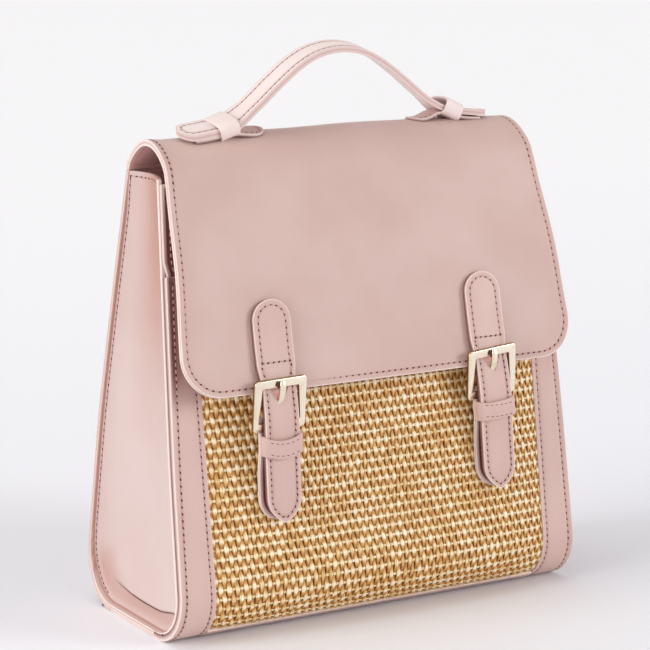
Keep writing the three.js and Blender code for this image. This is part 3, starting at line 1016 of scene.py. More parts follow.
class Finishes:
    """Every material of the bag."""

    def __init__(self) -> None:
        """Builds the shared effects and then each finish."""
        effects = Effects()
        blush = LeatherFinish(
            "blush_leather",
            colour=(0.60, 0.425, 0.378, 1),
            shade=(0.567, 0.387, 0.342, 1),
            rim=(0.82, 0.67, 0.61, 1),
            seam=(0.54, 0.32, 0.28, 1),
        )

        def leather(name: str, **tones: Colour) -> bpy.types.Material:
            """The blush leather under another name, with some tones of its own."""
            return replace(blush, name=name, **tones).build(effects)

        self.leather = blush.build(effects)
        # A copy of the leather for the back panel, whose deep rim colour paints the shade on the
        # panel's edge
        self.turned_leather = leather(
            "turned_edge_leather",
            colour=(0.665, 0.472, 0.42, 1),
            shade=(0.63, 0.43, 0.38, 1),
            rim=(0.72, 0.53, 0.48, 1),
            seam=(0.50, 0.27, 0.24, 1),
        )
        # A lighter copy of the leather for the bands, closure straps and keepers, brightened to
        # paint light into the shade that the flap casts on them
        self.band_leather = leather(
            "band_leather", colour=(0.655, 0.466, 0.415, 1), shade=(0.62, 0.427, 0.378, 1)
        )
        # A pinker copy of the leather for the undersides and the strap's inner layer, made bright
        # and red to paint the warm bounced light in their shade
        self.lining = leather(
            "flap_lining", colour=(0.96, 0.50, 0.46, 1), shade=(0.92, 0.44, 0.42, 1)
        )
        # A paler copy of the leather that paints the stronger light on the sides; its fold colour
        # paints the shade in their folds and along their seams
        self.side_leather = leather(
            "side_leather",
            colour=(0.62, 0.492, 0.457, 1),
            shade=(0.594, 0.457, 0.421, 1),
            fold=(0.42, 0.168, 0.117, 1),
        )
        # A paler copy of the leather that paints the strong light on the handle, with a darker rim
        # that paints the shade on its edges
        self.handle_leather = leather(
            "handle_leather",
            colour=(0.90, 0.80, 0.765, 1),
            shade=(0.87, 0.75, 0.71, 1),
            rim=(0.72, 0.54, 0.495, 1),
        )
        thread = ThreadFinish("blush_thread", (0.60, 0.40, 0.355, 1), (0.50, 0.30, 0.265, 1))
        self.thread = thread.build(effects)
        # Dark for the thread ends, and painted shade for the stitch holes, sunk dashes and the
        # shadows under the gusset's fold and beside the prong
        hole = ThreadFinish("stitch_hole", (0.13, 0.032, 0.03, 1), (0.07, 0.014, 0.013, 1), 0.8)
        self.hole = hole.build(effects)
        tones = (
            (0.0, (0.46, 0.20, 0.05, 1)),
            (0.22, (0.61, 0.30, 0.076, 1)),
            (0.45, (0.69, 0.40, 0.13, 1)),
            (0.70, (0.80, 0.56, 0.255, 1)),
            (0.96, (0.95, 0.83, 0.62, 1)),
        )
        self.straw = StrawFinish("woven_straw", tones).build(effects)
        gold = MetalFinish("pale_gold", (0.93, 0.83, 0.68, 1), (0.88, 0.75, 0.56, 1))
        self.gold = gold.build(effects)


def new_mesh(
    name: str, bm: bmesh.types.BMesh, finishes: Sequence[bpy.types.Material] = ()
) -> bpy.types.Mesh:
    """Turns a mesh being worked on into a kept one.

    Args:
        name: its name.
        bm: the mesh being worked on, which is used up.
        finishes: its materials, in the order of its faces' numbers.

    Returns:
        The kept mesh.
    """
    mesh = bpy.data.meshes.new(name)
    bm.to_mesh(mesh)
    bm.free()
    for material in finishes:
        mesh.materials.append(material)
    return mesh


def add_object(name: str, data: bpy.types.ID) -> bpy.types.Object:
    """Adds an object to the scene and hands it back."""
    made = bpy.data.objects.new(name, data)
    bpy.context.scene.collection.objects.link(made)
    return made


def finish_piece(
    name: str,
    bm: bmesh.types.BMesh,
    finishes: Sequence[bpy.types.Material],
    slot: Slot,
    replaces: Sequence[str] = (),
    sharp: float = 42.0,
) -> bpy.types.Object:
    """Turns a mesh in millimetres into a finished piece of the bag in metres.

    Args:
        name: the piece's name.
        bm: its mesh, which is used up.
        finishes: its materials, in the order of its faces' numbers.
        slot: the record's slot that it takes its finish from; not used.
        replaces: the CAD nodes that it stands for.
        sharp: the angle above which an edge stays crisp, in degrees.

    Returns:
        The finished object.
    """
    bmesh.ops.scale(bm, vec=(MM, MM, MM), verts=bm.verts[:])
    mesh = new_mesh(name, bm, finishes)
    mesh.polygons.foreach_set("use_smooth", [True] * len(mesh.polygons))
    mesh.set_sharp_from_angle(angle=math.radians(sharp))
    piece = add_object(name, mesh)
    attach(piece, BODY_NAME)
    if replaces:
        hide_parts(*replaces)
    mesh.calc_loop_triangles()
    LOG.info("%s: %d triangles", name, len(mesh.loop_triangles))
    return piece


def joined(parts: Sequence[bmesh.types.BMesh]) -> bmesh.types.BMesh:
    """Several meshes as one.

    Args:
        parts: the meshes, which are used up.

    Returns:
        The one mesh.
    """
    whole = parts[0]
    for part in parts[1:]:
        carrier = new_mesh("carrier", part)
        whole.from_mesh(carrier)
        bpy.data.meshes.remove(carrier)
    return whole


class Stitch(Enum):
    """How a row of stitches looks: with dark beads that paint the shade of the holes at its ends, or
    as thin dark sunk dashes.
    """

    PITTED = "pitted"
    SUNK = "sunk"


@dataclass
class Sewing:
    """Rows of stitches on one piece, as one joined mesh.

    Attributes:
        name: the name of the stitching.
        pitch: the length of a stitch with its gap.
        seed: the seed of the small unevenness.
    """

    name: str
    pitch: float = 3.7
    seed: int = 1
    rows: list[bmesh.types.BMesh] = field(default_factory=list)
    count: int = 0

    THREAD_SHARE, THREAD_SIZE = 0.40, (0.42, 0.34)
    DASH_SHARE, DASH_SIZE = 0.34, (0.26, 0.16)
    HOLE_SIZE, HOLE_RISE, HOLE_LEAN = (0.92, 0.52, 0.2), 0.02, 0.32

    def __post_init__(self) -> None:
        """Starts the unevenness."""
        self.chance = random.Random(self.seed)

    def bead(
        self, centre: Vector, run: Vector, out: Vector, sizes: Sequence[float], material: int
    ) -> None:
        """Adds one small rounded bead.

        Args:
            centre: its middle.
            run: the way it lies.
            out: the way out of the leather.
            sizes: half its length, width and height.
            material: the number of its material.
        """
        ahead = run.normalized()
        across = out.cross(ahead).normalized()
        upright = ahead.cross(across)
        turn = Matrix((ahead, across, upright)).transposed().to_4x4()
        place = Matrix.Translation(centre) @ turn @ Matrix.Diagonal((*sizes, 1))
        made = bmesh.ops.create_uvsphere(
            self.rows[-1], u_segments=6, v_segments=4, radius=1, matrix=place
        )
        for vert in made["verts"]:
            for face in vert.link_faces:
                face.material_index = material

    def along(
        self,
        path: Sequence[Vector],
        place: Callable[[Vector, float], Vector],
        style: Stitch = Stitch.PITTED,
    ) -> None:
        """Sews along a flat path.

        Args:
            path: the path's points.
            place: takes a flat point and a height to its place on the bag.
            style: how the row looks.
        """
        dots = resampled(path, self.pitch, False)
        self.rows.append(bmesh.new())
        for i, (a, b) in enumerate(zip(dots, dots[1:])):
            start, end = place(a, 0.0), place(b, 0.0)
            middle = (a + b) / 2
            seat, above = place(middle, 0.0), place(middle, 1.0)
            out = (above - seat).normalized()
            run = end - start
            wobble = self.chance.uniform(-0.12, 0.12)
            side = out.cross(run.normalized())
            # Sunk stitches are dark dashes that paint their shade; pitted ones get a dark bead that
            # paints the shade in each hole
            if style is Stitch.SUNK:
                self.bead(seat, run, out, (run.length * self.DASH_SHARE, *self.DASH_SIZE), 1)
                continue
            lean = run.normalized() + side * (self.HOLE_LEAN + wobble)
            thread = (run.length * self.THREAD_SHARE, *self.THREAD_SIZE)
            self.bead(seat + side * wobble * 0.5, run, out, thread, 0)
            last = i == len(dots) - 2
            for hole in (start, end) if last else (start,):
                self.bead(hole + out * self.HOLE_RISE, lean, out, self.HOLE_SIZE, 1)
        self.count += len(dots) - 1

    def sew(
        self,
        cut: Cut,
        drape: Drape,
        inset: float,
        keep: Callable[[Vector], bool] = lambda p: True,
    ) -> None:
        """Sews round the edge of a cut.

        Args:
            cut: the cut of leather.
            drape: where the cut lies.
            inset: the distance from its edge.
            keep: which points of the row are sewn.
        """
        depth = cut.face + cut.relief(inset)
        for run in runs_where(inset_path(cut.outline, inset), keep):
            if len(run) > 3:
                self.along(run, lambda p, h: drape.place(p.x, p.y, depth + h))

    def finish(self, finishes: Finishes) -> None:
        """Turns the stitches into a piece."""
        LOG.info("%s: %d stitches", self.name, self.count)
        layers = [finishes.thread, finishes.hole]
        finish_piece(self.name, joined(self.rows), layers, Slot.LEATHER, sharp=80)


# The bag's own shape


@dataclass(frozen=True)
class BagShape:
    """The side profile and widths that all pieces share."""

    base_half_width: float = 130.0
    side_taper: float = 0.0417
    side_bow: float = 1.6
    top_tuck: float = 3.4
    base_depth: float = 123.0
    face_slope: float = 0.148
    top: float = 250.0
    front_top: float = 247.5
    facing_top: float = 199.0
    front_round: float = 27.0
    back_round: float = 30.0
    band_inner: float = 108.0
    swell_depth: float = 8.5
    swell_low: float = 25.0
    swell_high: float = 199.0
    sag_depth: float = 5.5
    sag_low: float = 4.0
    sag_high: float = 62.0

    @property
    def lean(self) -> float:
        """The angle by which the front and back lean in."""
        return math.atan(self.face_slope)

    def rim(self, z: float) -> float:
        """Half the bag's width at a height."""
        return self.base_half_width - self.side_taper * z + self.side_bow * smoothstep(z, 0, 120)

    def tuck(self, z: float) -> float:
        """How far the back's upper corners are drawn in."""
        return self.top_tuck * max(0.0, (z - 110) / (self.top - 110)) ** 1.3

    def front_y(self, z: float) -> float:
        """The Y of the front's outer face at a height."""
        return -self.base_depth / 2 + self.face_slope * z

    def profile(self) -> LegProfile:
        """Down the front, round the lower edge, along the base and up the back."""
        lean, rounds = self.lean, (self.front_round, self.back_round)
        heights = [r * (1 + math.sin(lean)) for r in rounds]
        reaches = [r * math.tan((QUARTER + lean) / 2) for r in rounds]
        runs = [(self.top - h) / math.cos(lean) for h in heights]
        turns = [r * (QUARTER + lean) for r in rounds]
        legs = [
            (runs[0], 0),
            (turns[0], rounds[0]),
            (self.base_depth - sum(reaches), 0),
            (turns[1], rounds[1]),
            (runs[1], 0),
        ]
        return LegProfile(Spot(self.front_y(self.top), self.top, -QUARTER - lean), legs)

    def front_station(self, z: float) -> float:
        """How far along the profile a height on the front is."""
        return (self.top - z) / math.cos(self.lean)

    def swell(self, x: float, z: float) -> float:
        """How far the stuffed front stands proud between the bands."""
        across = 1 - min(1.0, abs(x / self.band_inner)) ** 3
        share = min(1.0, max(0.0, (z - self.swell_low) / (self.swell_high - self.swell_low)))
        low = min(1.0, max(0.0, (z - self.sag_low) / (self.sag_high - self.sag_low)))
        sag = self.sag_depth * math.sin(math.pi * low) ** 2
        return across * (self.swell_depth * math.sin(math.pi * share) + sag)


SHAPE = BagShape()
BODY = SHAPE.profile()
BASE_START = BODY.legs[2][0]
BACK_ROUND_START = BODY.legs[3][0]


def before_base(degrees: float) -> float:
    """A place on the lower front round, so many degrees before it reaches the base."""
    return BASE_START - SHAPE.front_round * math.radians(degrees)


def columns_for(width: float, step: float) -> list[float]:
    """Column shares for a strip of a width, crowded at both edges."""
    return [2 * p / width - 1 for p in edge_spread(width, step)]


@dataclass
class Walls:
    """The leather walls: front panel, bands, base and back."""

    finishes: Finishes
    band_thickness: float = 4.1
    panel_thickness: float = 2.2
    tongue_end: float = 37.5
    tongue_lift: float = 2.2

    def build(self) -> None:
        """Builds and dresses every wall."""
        self.build_front()
        for side in Side:
            self.build_band(side)
        self.build_base()
        self.build_back()

    def build_front(self) -> None:
        """The panel behind the straw, seen above it in the flap's shade."""
        start, end = SHAPE.front_station(SHAPE.front_top), before_base(30)
        facing = SHAPE.front_station(SHAPE.facing_top)
        places = [start + p for p in edge_spread(end - start, 7, fine_end=False)]
        rows = []
        for s in places:
            tuck = 3.2 * smoothstep(s, facing - 4, facing + 2)
            rows.append(Row(s, SHAPE.rim(BODY.at(s).z) - 0.4 - tuck))
        columns = columns_for(244, 8)
        # upper paints a deep shade over the panel's face, which lies in the flap's shadow
        cut = Cut(rows, columns, self.panel_thickness, face=-2.3, wave=0.5, upper=0.9, lined=True)
        drape = Drape(BODY, lift=lambda x, z: 0.92 * SHAPE.swell(x, z))
        layers = [self.finishes.leather, self.finishes.lining]
        finish_piece("front_panel", cut.laid(drape), layers, Slot.LEATHER, ["front_panel"])
        sewing = Sewing("front_panel_stitches", seed=3)
        sewing.sew(cut, drape, 4.2, lambda p: p.y < facing - 2)
        sewing.finish(self.finishes)

    def build_band(self, side: Side) -> None:
        """A leather band down one edge of the front, sewn along both sides."""
        start, end = SHAPE.front_station(SHAPE.facing_top), BASE_START + 3.5
        rows = []
        for p in edge_spread(end - start, 5):
            s = start + p
            inner, outer = SHAPE.band_inner - 0.2, SHAPE.rim(BODY.at(s).z)
            rows.append(Row(s, (outer - inner) / 2, side.value * (outer + inner) / 2))
        soft = {"round_off": 0.9, "groove": 0.0, "wave": 0.4, "foot": 0.95}
        cut = Cut(rows, columns_for(21, 3), self.band_thickness, **soft)
        drape = Drape(BODY, lift=lambda x, z: 0.35)
        name = f"front_band_{side.word}"
        bm = cut.laid(drape)
        # Painted shade along the band's outer edge, where the flap's shadow falls on it
        fold = bm.verts.layers.float["fold"]
        for vert in bm.verts:
            away = SHAPE.rim(vert.co.z) - abs(vert.co.x)
            shade = lerp(0.8, 0.3, smoothstep(away, 1, 9)) * smoothstep(away, 0.9, 1.6)
            vert[fold] = max(vert[fold], shade * smoothstep(vert.co.z, 128, 152))
        finish_piece(name, bm, [self.finishes.band_leather], Slot.LEATHER, [name])
        sewing = Sewing(f"{name}_stitches", seed=5 + side.value)

        def outer_half(point: Vector) -> bool:
            """Whether a point is nearer to the band's outer edge."""
            middle = (SHAPE.band_inner + SHAPE.rim(BODY.at(point.y).z)) / 2
            return side.value * point.x > middle

        sewing.sew(cut, drape, 2.8, lambda p: not outer_half(p) and start + 4 < p.y < end - 4)
        sewing.sew(cut, drape, 3.6, lambda p: outer_half(p) and start + 3.5 < p.y < end - 4)
        sewing.finish(self.finishes)

    def build_base(self) -> None:
        """The base, with a rolled lip between the bands that meets the straw."""
        lip_start, lip_end = before_base(self.tongue_end), BASE_START + 4
        half = SHAPE.band_inner - 0.5

        def arched(x: float, z: float) -> float:
            """How far the lip's front edge is drawn up between the bands."""
            middle = max(0.0, 1 - abs(x / half) ** 6)
            return -self.tongue_lift * middle * (1 - smoothstep(z, 0.4, 3))

        lip_places = edge_spread(lip_end - lip_start, 2, fine_end=False)
        lip_rows = [Row(lip_start + p, half) for p in lip_places]
        columns = columns_for(2 * half, 9)
        lip = Cut(lip_rows, columns, 3.6, face=0.7, round_off=1.3, groove=0.0, seam=0.0)
        start, end = BASE_START - 9, BACK_ROUND_START - 0.1
        rows = []
        for p in edge_spread(end - start, 6):
            tuck = 0.5 * (1 - smoothstep(start + p, BASE_START, BASE_START + 6))
            rows.append(Row(start + p, SHAPE.rim(0) - tuck))
        plate = Cut(rows, columns_for(260, 9), 2.3, face=-0.1, groove=0.25)
        whole = joined([plate.laid(Drape(BODY)), lip.laid(Drape(BODY, lift=arched))])
        finish_piece("base_panel", whole, [self.finishes.leather], Slot.LEATHER, ["base_panel"])

    def build_back(self) -> None:
        """The back panel, sewn all round."""
        start, end = BACK_ROUND_START + 0.1, BODY.length
        heights = [(start + p, BODY.at(start + p).z) for p in edge_spread(end - start, 7)]
        rows = [Row(s, SHAPE.rim(z) - SHAPE.tuck(z)) for s, z in heights]
        cut = Cut(rows, columns_for(248, 9), 2.4, wave=0.9, groove=0.25, lined=True)
        drape = Drape(BODY)
        layers = [self.finishes.turned_leather, self.finishes.lining]
        finish_piece("back_panel", cut.laid(drape), layers, Slot.LEATHER, ["back_panel"])
        sewing = Sewing("back_panel_stitches", pitch=4.0, seed=11)
        sewing.sew(cut, drape, 4.0)
        sewing.finish(self.finishes)


@dataclass
class WovenFront:
    """The straw front: upright strands that pass over and under level ones, on a dark backing that
    paints the shade in the gaps.

    Attributes:
        finishes: the bag's materials.
        column: the spacing of the upright strands.
        row: the spacing of the level strands.
        wave: how far the upright strands swing in and out.
        seed: the seed of the strands' own tones.
        TURNS: the degrees of the swing that an upright strand has a station at.
        LOBES: the section of an upright strand, with a lobe at each side.
    """

    finishes: Finishes
    column: float = 2.33
    row: float = 5.35
    wave: float = 0.62
    seed: int = 21

    TURNS = (0.0, 38.0, 76.0, 125.0, 235.0, 284.0, 322.0)
    LOBES = ((1.0, -0.25), (0.62, 0.8), (0.0, 0.72), (-0.62, 0.8), (-1.0, -0.25), (0.0, -0.75))
    def __post_init__(self) -> None:
        """Settles the panel's extent."""
        self.half = SHAPE.band_inner + 0.6
        self.start = SHAPE.front_station(SHAPE.facing_top) + 0.5
        self.end = before_base(35.0)
        self.columns = int(2 * self.half / self.column)
        self.rows = int((self.end - self.start) / self.row)
        self.row = (self.end - self.start) / self.rows
        self.chance = random.Random(self.seed)
        self.drape = Drape(BODY, lift=self.surface)

    def surface(self, x: float, z: float) -> float:
        """The middle of the weave: swollen, and drawn in where bands and base hold it down."""
        held = 1.9 * math.exp(-(max(0.0, self.half - abs(x)) / 4.5))
        low = 1.3 * (1 - smoothstep(z, 4.5, 9.0))
        return SHAPE.swell(x, z) + 0.1 - held - low

    def build(self) -> None:
        """Builds and dresses the weave."""
        straw = [self.finishes.straw]
        uprights = self.upright_strands()
        finish_piece("woven_panel", uprights, straw, Slot.STRAW, ["woven_panel"], sharp=180)
        finish_piece("woven_level_strands", self.level_strands(), straw, Slot.STRAW, sharp=180)
        finish_piece("woven_backing", self.backing(), straw, Slot.STRAW)

    def phase(self, along: float, column: int) -> float:
        """Where an upright strand is in its swing at a place along."""
        return math.pi * ((along - self.start) / self.row - 0.5) + math.pi * (column % 2)

    def strand_layers(self, bm: bmesh.types.BMesh) -> tuple[object, object]:
        """The two vertex layers that the straw finish reads."""
        return bm.verts.layers.float.new("crest"), bm.verts.layers.float_vector.new("strand")

    def upright_strands(self) -> bmesh.types.BMesh:
        """All upright strands, each one a flattened tube with two lobes."""
        whole = bmesh.new()
        layers = self.strand_layers(whole)
        for i in range(self.columns):
            shift = self.phase(self.start, i)
            first = math.floor(shift / (2 * math.pi)) * 360
            phases = [first + 360 * k + t for k in range(self.rows // 2 + 3) for t in self.TURNS]
            places = [self.start + self.row * (math.radians(p) - shift) / math.pi for p in phases]
            inside = [(s, p) for s, p in zip(places, phases) if self.start < s < self.end]
            low, high = ((s, math.degrees(self.phase(s, i))) for s in (self.start, self.end))
            self.one_strand(whole, layers, i, [low, *inside, high])
        weld(whole, STRAND_WELD)
        return whole

    def one_strand(
        self,
        bm: bmesh.types.BMesh,
        layers: tuple[object, object],
        index: int,
        inside: Sequence[tuple[float, float]],
    ) -> None:
        """Adds one upright strand as a rolled-up grid, its seam at the back.

        Args:
            bm: the mesh that takes it.
            layers: the painted highlight and shade of each vertex, set by how high it rides, and its
                place across and along with its number.
            index: the strand's number.
            inside: its stations, as places along and degrees of its swing.
        """
        crest, strand = layers
        lobes = [Vector(lobe) for lobe in self.LOBES]
        around = len(lobes)
        x = -self.half + (index + 0.5) * 2 * self.half / self.columns
        tone = self.chance.random()
        for vert, turn, j in grid_verts(bm, around, len(inside) - 1):
            s, degrees = inside[j]
            lobe = lobes[(turn + 5) % around]
            swing = math.radians(degrees)
            over = math.cos(swing)
            knot = round((s - self.start) / self.row)
            odd = noise.noise(Vector((index * 3.7, knot * 2.3, 0.5)))
            drift = noise.noise(Vector((index * 1.3, s * 0.16, 4.0)))
            faded = noise.noise(Vector((x * 0.045, s * 0.06, 7.0)))
            width = (1.09 + 0.25 * max(0.0, over) ** 0.8) * (1 + 0.26 * odd)
            height = 0.46 + 0.2 * max(0.0, over)
            sway = 0.5 * drift + 0.2 * math.sin(swing)
            out = self.wave * over * (1 + 0.2 * odd) + lobe.y * height
            # Painted light: paler where the strand rides over and on its front, darker where it
            # dives and at its flanks; odd and faded vary the straw's own tone
            ride = (0.5 + 0.5 * over) ** 2.6 * (1 + 0.42 * odd + 0.3 * faded)
            flank = 0.2 * max(0.0, abs(lobe.x) - 0.7)
            vert[crest] = ride * (0.78 + 0.22 * max(0.0, lobe.y)) - flank + 0.06
            vert[strand] = Vector((turn / around, s, index + tone))
            vert.co = self.drape.place(x + sway + lobe.x * width, s, out)

    def level_strands(self) -> bmesh.types.BMesh:
        """All level strands, each passing behind the crests and in front of the dips."""
        ring = round_section()
        around, steps = len(ring), 2 * self.columns
        whole = bmesh.new()
        crest, strand = self.strand_layers(whole)
        for j in range(self.rows):
            s = self.start + (j + 0.5) * self.row
            tone = self.chance.random()
            for vert, turn, k in grid_verts(whole, around, steps):
                x = -self.half + self.half * k / self.columns
                lobe = ring[(turn + 4) % around]
                over = -math.cos(self.phase(s, (k - 1) // 2)) * (k % 2)
                odd = noise.noise(Vector((k * 0.9, j * 3.1, 9.0)))
                sway = 0.3 * noise.noise(Vector((x * 0.08, j * 1.7, 2.0)))
                along = s + sway + lobe.x * (0.85 + 0.15 * odd)
                # Painted highlight where the strand rides over and on its front, painted shade where
                # it dips
                vert[crest] = 0.44 + 0.3 * over + 0.16 * lobe.y
                vert[strand] = Vector((turn / around, x, 500 + j + tone))
                vert.co = self.drape.place(x, along, 0.4 * over + 0.42 * lobe.y)
        weld(whole, STRAND_WELD)
        return whole

    def backing(self) -> bmesh.types.BMesh:
        """The dark sheet behind the strands; its low crest value paints the shade seen through the
        gaps.
        """

        def behind(x: float, z: float) -> float:
            """How far out the cloth lies, so that it stays clear of the panel behind it."""
            return max(self.surface(x, z), 0.95 * SHAPE.swell(x, z) - 0.2)

        rows = [Row(s, self.half) for s in spread(self.start, self.end, 40)]
        columns = spread(-1, 1, 36)
        cut = Cut(rows, columns, 0.8, face=-1.1, groove=0.0, seam=0.0, round_off=0.2)
        bm = cut.laid(Drape(BODY, lift=behind))
        crest, strand = self.strand_layers(bm)
        for vert in bm.verts:
            vert[crest] = 0.25
            vert[strand] = Vector((vert.co.x * 0.2, vert.co.z, 1))
        return bm


@dataclass
class Gusset:
    """A sunk side wall: a flange turned out to the rim, a hollow middle and a fold near the foot.

    Attributes:
        finishes: the bag's materials.
        side: which side it is on.
    """

    finishes: Finishes
    side: Side
    top: float = 249.3
    front_inset: float = 5.1
    other_inset: float = 2.5
    front_round: float = 23.0
    back_round: float = 27.5
    front_flange: float = 1.8
    back_flange: float = 0.9
    seam_depth: float = 2.6
    back_depth: float = 1.4
    hollow: float = 10.0
    wall: float = 1.8
    spine_foot: float = 52.0
    spine_y: float = 0.5
    # Painted shade: below the fold, in the back corner, over the upper front, along the seam and
    # under the fold
    foot_tone: float = 0.46
    corner_tone: float = 0.4
    upper_tone: float = 0.84
    seam_tone: float = 0.8
    under_tone: float = 0.9

    INWARD = (0.0, 0.3, 0.6, 0.9, 1.1, 1.4, 1.7, 2.0, 2.3, 2.9, 3.8, 5.0, 6.5)
    FOLD_RISES = (0.0, 0.4, 1.2, 2.5, 5.0, 9.0, 14.0, 20.0, 28.0, 38.0, 50.0)
    THREAD_ENDS = ((36.3, 1.1), (-37.1, 4.4))
    def __post_init__(self) -> None:
        """Settles the outline of the side."""
        lean, slope = SHAPE.lean, SHAPE.face_slope
        upright = math.cos(lean)
        foot_front = -SHAPE.base_depth / 2 + self.front_inset / upright
        foot_back = SHAPE.base_depth / 2 - self.other_inset / upright
        low = self.other_inset
        centre_front = foot_front + slope * (low + self.front_round) + self.front_round / upright
        centre_back = foot_back - slope * (low + self.back_round) - self.back_round / upright
        tangent_front = low + self.front_round * (1 + math.sin(lean))
        tangent_back = low + self.back_round * (1 + math.sin(lean))
        turn = QUARTER + lean
        start = Spot(foot_front + slope * self.top, self.top, -turn)
        legs = [
            ((self.top - tangent_front) / upright, 0),
            (self.front_round * turn, self.front_round),
            (centre_back - centre_front, 0),
            (self.back_round * turn, self.back_round),
            ((self.top - tangent_back) / upright, 0),
        ]
        self.outline = LegProfile(start, legs)
        spots = map(self.outline.at, spread(0, self.outline.length, 900))
        self.tree = tree_of([Vector((p.y, p.z)) for p in spots])
        self.outwards = Vector((self.side.value, 0, 0))

    def spine(self, spot: Spot) -> Vector:
        """The point of the middle line that a place on the outline is joined to."""
        return Vector((self.spine_y, max(spot.z, self.spine_foot)))

    def stations(self) -> list[float]:
        """Places along the outline, paired so that front and back rows meet on the middle line."""
        heights = [self.top - p for p in edge_spread(self.top - self.spine_foot, 7, fine_end=False)]
        lean = math.cos(SHAPE.lean)
        front = [(self.top - z) / lean for z in heights]
        back = [self.outline.length - s for s in reversed(front)]
        return front + spread(front[-1], back[0], 44)[1:-1] + back

    def at_back(self, y: float, z: float) -> float:
        """How far a place belongs to the back edge rather than to the foot or the front."""
        return smoothstep(y, -10, 20) * smoothstep(z, 14, 46)

    def flange(self, y: float, z: float) -> float:
        """The width of the flange next to a place."""
        return lerp(self.front_flange, self.back_flange, self.at_back(y, z))

    def depth(self, y: float, z: float) -> float:
        """How far the wall lies in from the rim at a place on the side."""
        near = self.tree.find((y, z, 0))[2]
        flange = self.flange(y, z)
        step = smoothstep(near, flange - 0.4, flange + 0.3)
        seam = lerp(self.seam_depth, self.back_depth, self.at_back(y, z))
        fall = 1 - math.exp(-max(0.0, near - flange) / 13)
        top_hem = 1 - smoothstep(self.top - z, 0, 26)
        return step * (lerp(seam, self.hollow, fall) - 1.5 * top_hem)

    def crease(self, y: float) -> float:
        """The height of the fold near the foot."""
        return 13.3 + 0.0013 * (y + 10) ** 2 + 2.6 * smoothstep(-y, 22, 45)

    def surface(self, along: float, inward: float, out: float) -> Vector:
        """A place so far in from a place on the outline, and so far out from the wall."""
        point = self.inner_point(self.outline.at(along), inward)
        return self.lay(point.x, point.y, out)

    def inner_point(self, spot: Spot, inward: float) -> Vector:
        """The Y and Z of a point straight in from a place on the outline."""
        level = Vector((1.0 if spot.y < self.spine_y else -1.0, 0.0))
        square = Vector((-math.sin(spot.heading), math.cos(spot.heading)))
        way = level.lerp(square, smoothstep(self.top - spot.z, 0, 12)).normalized()
        return Vector((spot.y, spot.z)) + way * inward

    def lay(self, y: float, z: float, out: float) -> Vector:
        """A place on the wall over a Y and Z."""
        x = SHAPE.rim(z) - SHAPE.tuck(z) * self.at_back(y, z) - self.depth(y, z) + out
        return Vector((self.side.value * x, y, z))

    def build(self) -> None:
        """Builds and dresses the side."""
        name = f"gusset_{self.side.word}"
        whole = joined([self.wall_mesh(), self.fold_mesh()])
        layers = [self.finishes.side_leather, self.finishes.hole]
        finish_piece(name, whole, layers, Slot.LEATHER, [name], sharp=38)
        self.sew().finish(self.finishes)

    def wall_mesh(self) -> bmesh.types.BMesh:
        """The wall as a sheet between the outline and the middle line, given thickness."""
        bm = bmesh.new()
        edge = bm.verts.layers.float.new("edge_mm")
        fold = bm.verts.layers.float.new("fold")
        alongs = self.stations()
        last, tail = len(self.INWARD) - 1, 9
        for vert, column, row in grid_verts(bm, last + tail, len(alongs) - 1):
            spot = self.outline.at(alongs[row])
            inward = self.INWARD[min(column, last)]
            point = self.inner_point(spot, inward)
            if column > last:
                point = point.lerp(self.spine(spot), ((column - last) / tail) ** 1.4)
            near = self.tree.find((point.x, point.y, 0))[2]
            flange = self.flange(point.x, point.y)
            vert[edge] = 0.1 if near < flange - 0.3 else near + 4
            soft = lerp(5, 2, smoothstep(point.y, 90, 130))
            # Painted shade from the fold, the back corner and the upper front, faded out near the
            # flange
            vert[fold] = self.shade(point.x, point.y) * smoothstep(near, flange, flange + soft)
            # A dark painted line of shade along the seam beside the flange
            if abs(near - flange - 0.35) < 0.4:
                vert[fold] = self.seam_tone
            rounding = 0.5 * max(0.0, 1 - inward / 0.6) ** 2
            vert.co = self.lay(point.x, point.y, -rounding)
        bmesh.ops.remove_doubles(bm, verts=bm.verts[:], dist=WALL_WELD)
        thicken(bm, (-self.side.value * self.wall, 0, 0))
        return bm

    def shade(self, y: float, z: float) -> float:
        """How much painted shade the wall gets: below the fold, at its back end and over the front
        higher up.
        """
        below = 1 - smoothstep(z, self.crease(y) - 3, self.crease(y) + 10)
        # painted shade in the hollow at the back end of the fold
        blush = math.exp(-(((y - 46) / 11) ** 2) - ((z - 24) / 9) ** 2)
        front = SHAPE.front_y(z) + self.front_inset
        back = -SHAPE.front_y(z) - self.other_inset
        # painted shade over the front of the upper wall
        turned = 1 - smoothstep((y - front) / (back - front), 0.35, 1.0)
        low = self.foot_tone * below + self.corner_tone * blush
        return low + self.upper_tone * turned * smoothstep(z, 70, 240)

    def fold_mesh(self) -> bmesh.types.BMesh:
        """The sagging leather above the foot, whose lower edge hangs over the wall."""
        bm = bmesh.new()
        edge = bm.verts.layers.float.new("edge_mm")
        fold = bm.verts.layers.float.new("fold")
        for vert, _, row in grid_verts(bm, 40, len(self.FOLD_RISES) - 1):
            rise = self.FOLD_RISES[row]
            y = lerp(-50.0, 46.0, vert.co.x + 0.5)
            z = self.crease(y) + rise
            while self.tree.find((y, z, 0))[2] < self.front_flange + 0.6 or y < SHAPE.front_y(z):
                y += 0.3
            kept = (1 - smoothstep(rise, 6, 46)) * (1 - smoothstep(y, 8, 42))
            tuck = 0.7 * max(0.0, 1 - rise / 1.2) ** 2
            vert[edge] = 40.0
            vert[fold] = self.shade(y, z) * (1 - kept)
            vert.co = self.lay(y, z, 1.8 * kept - 0.12 * (1 - kept) - tuck)
        # The fold's underside takes deep painted shade
        for vert in thicken(bm, (-self.side.value * 1.2, 0, 0)):
            vert[fold] = self.under_tone
        return joined([bm, self.fold_line()])

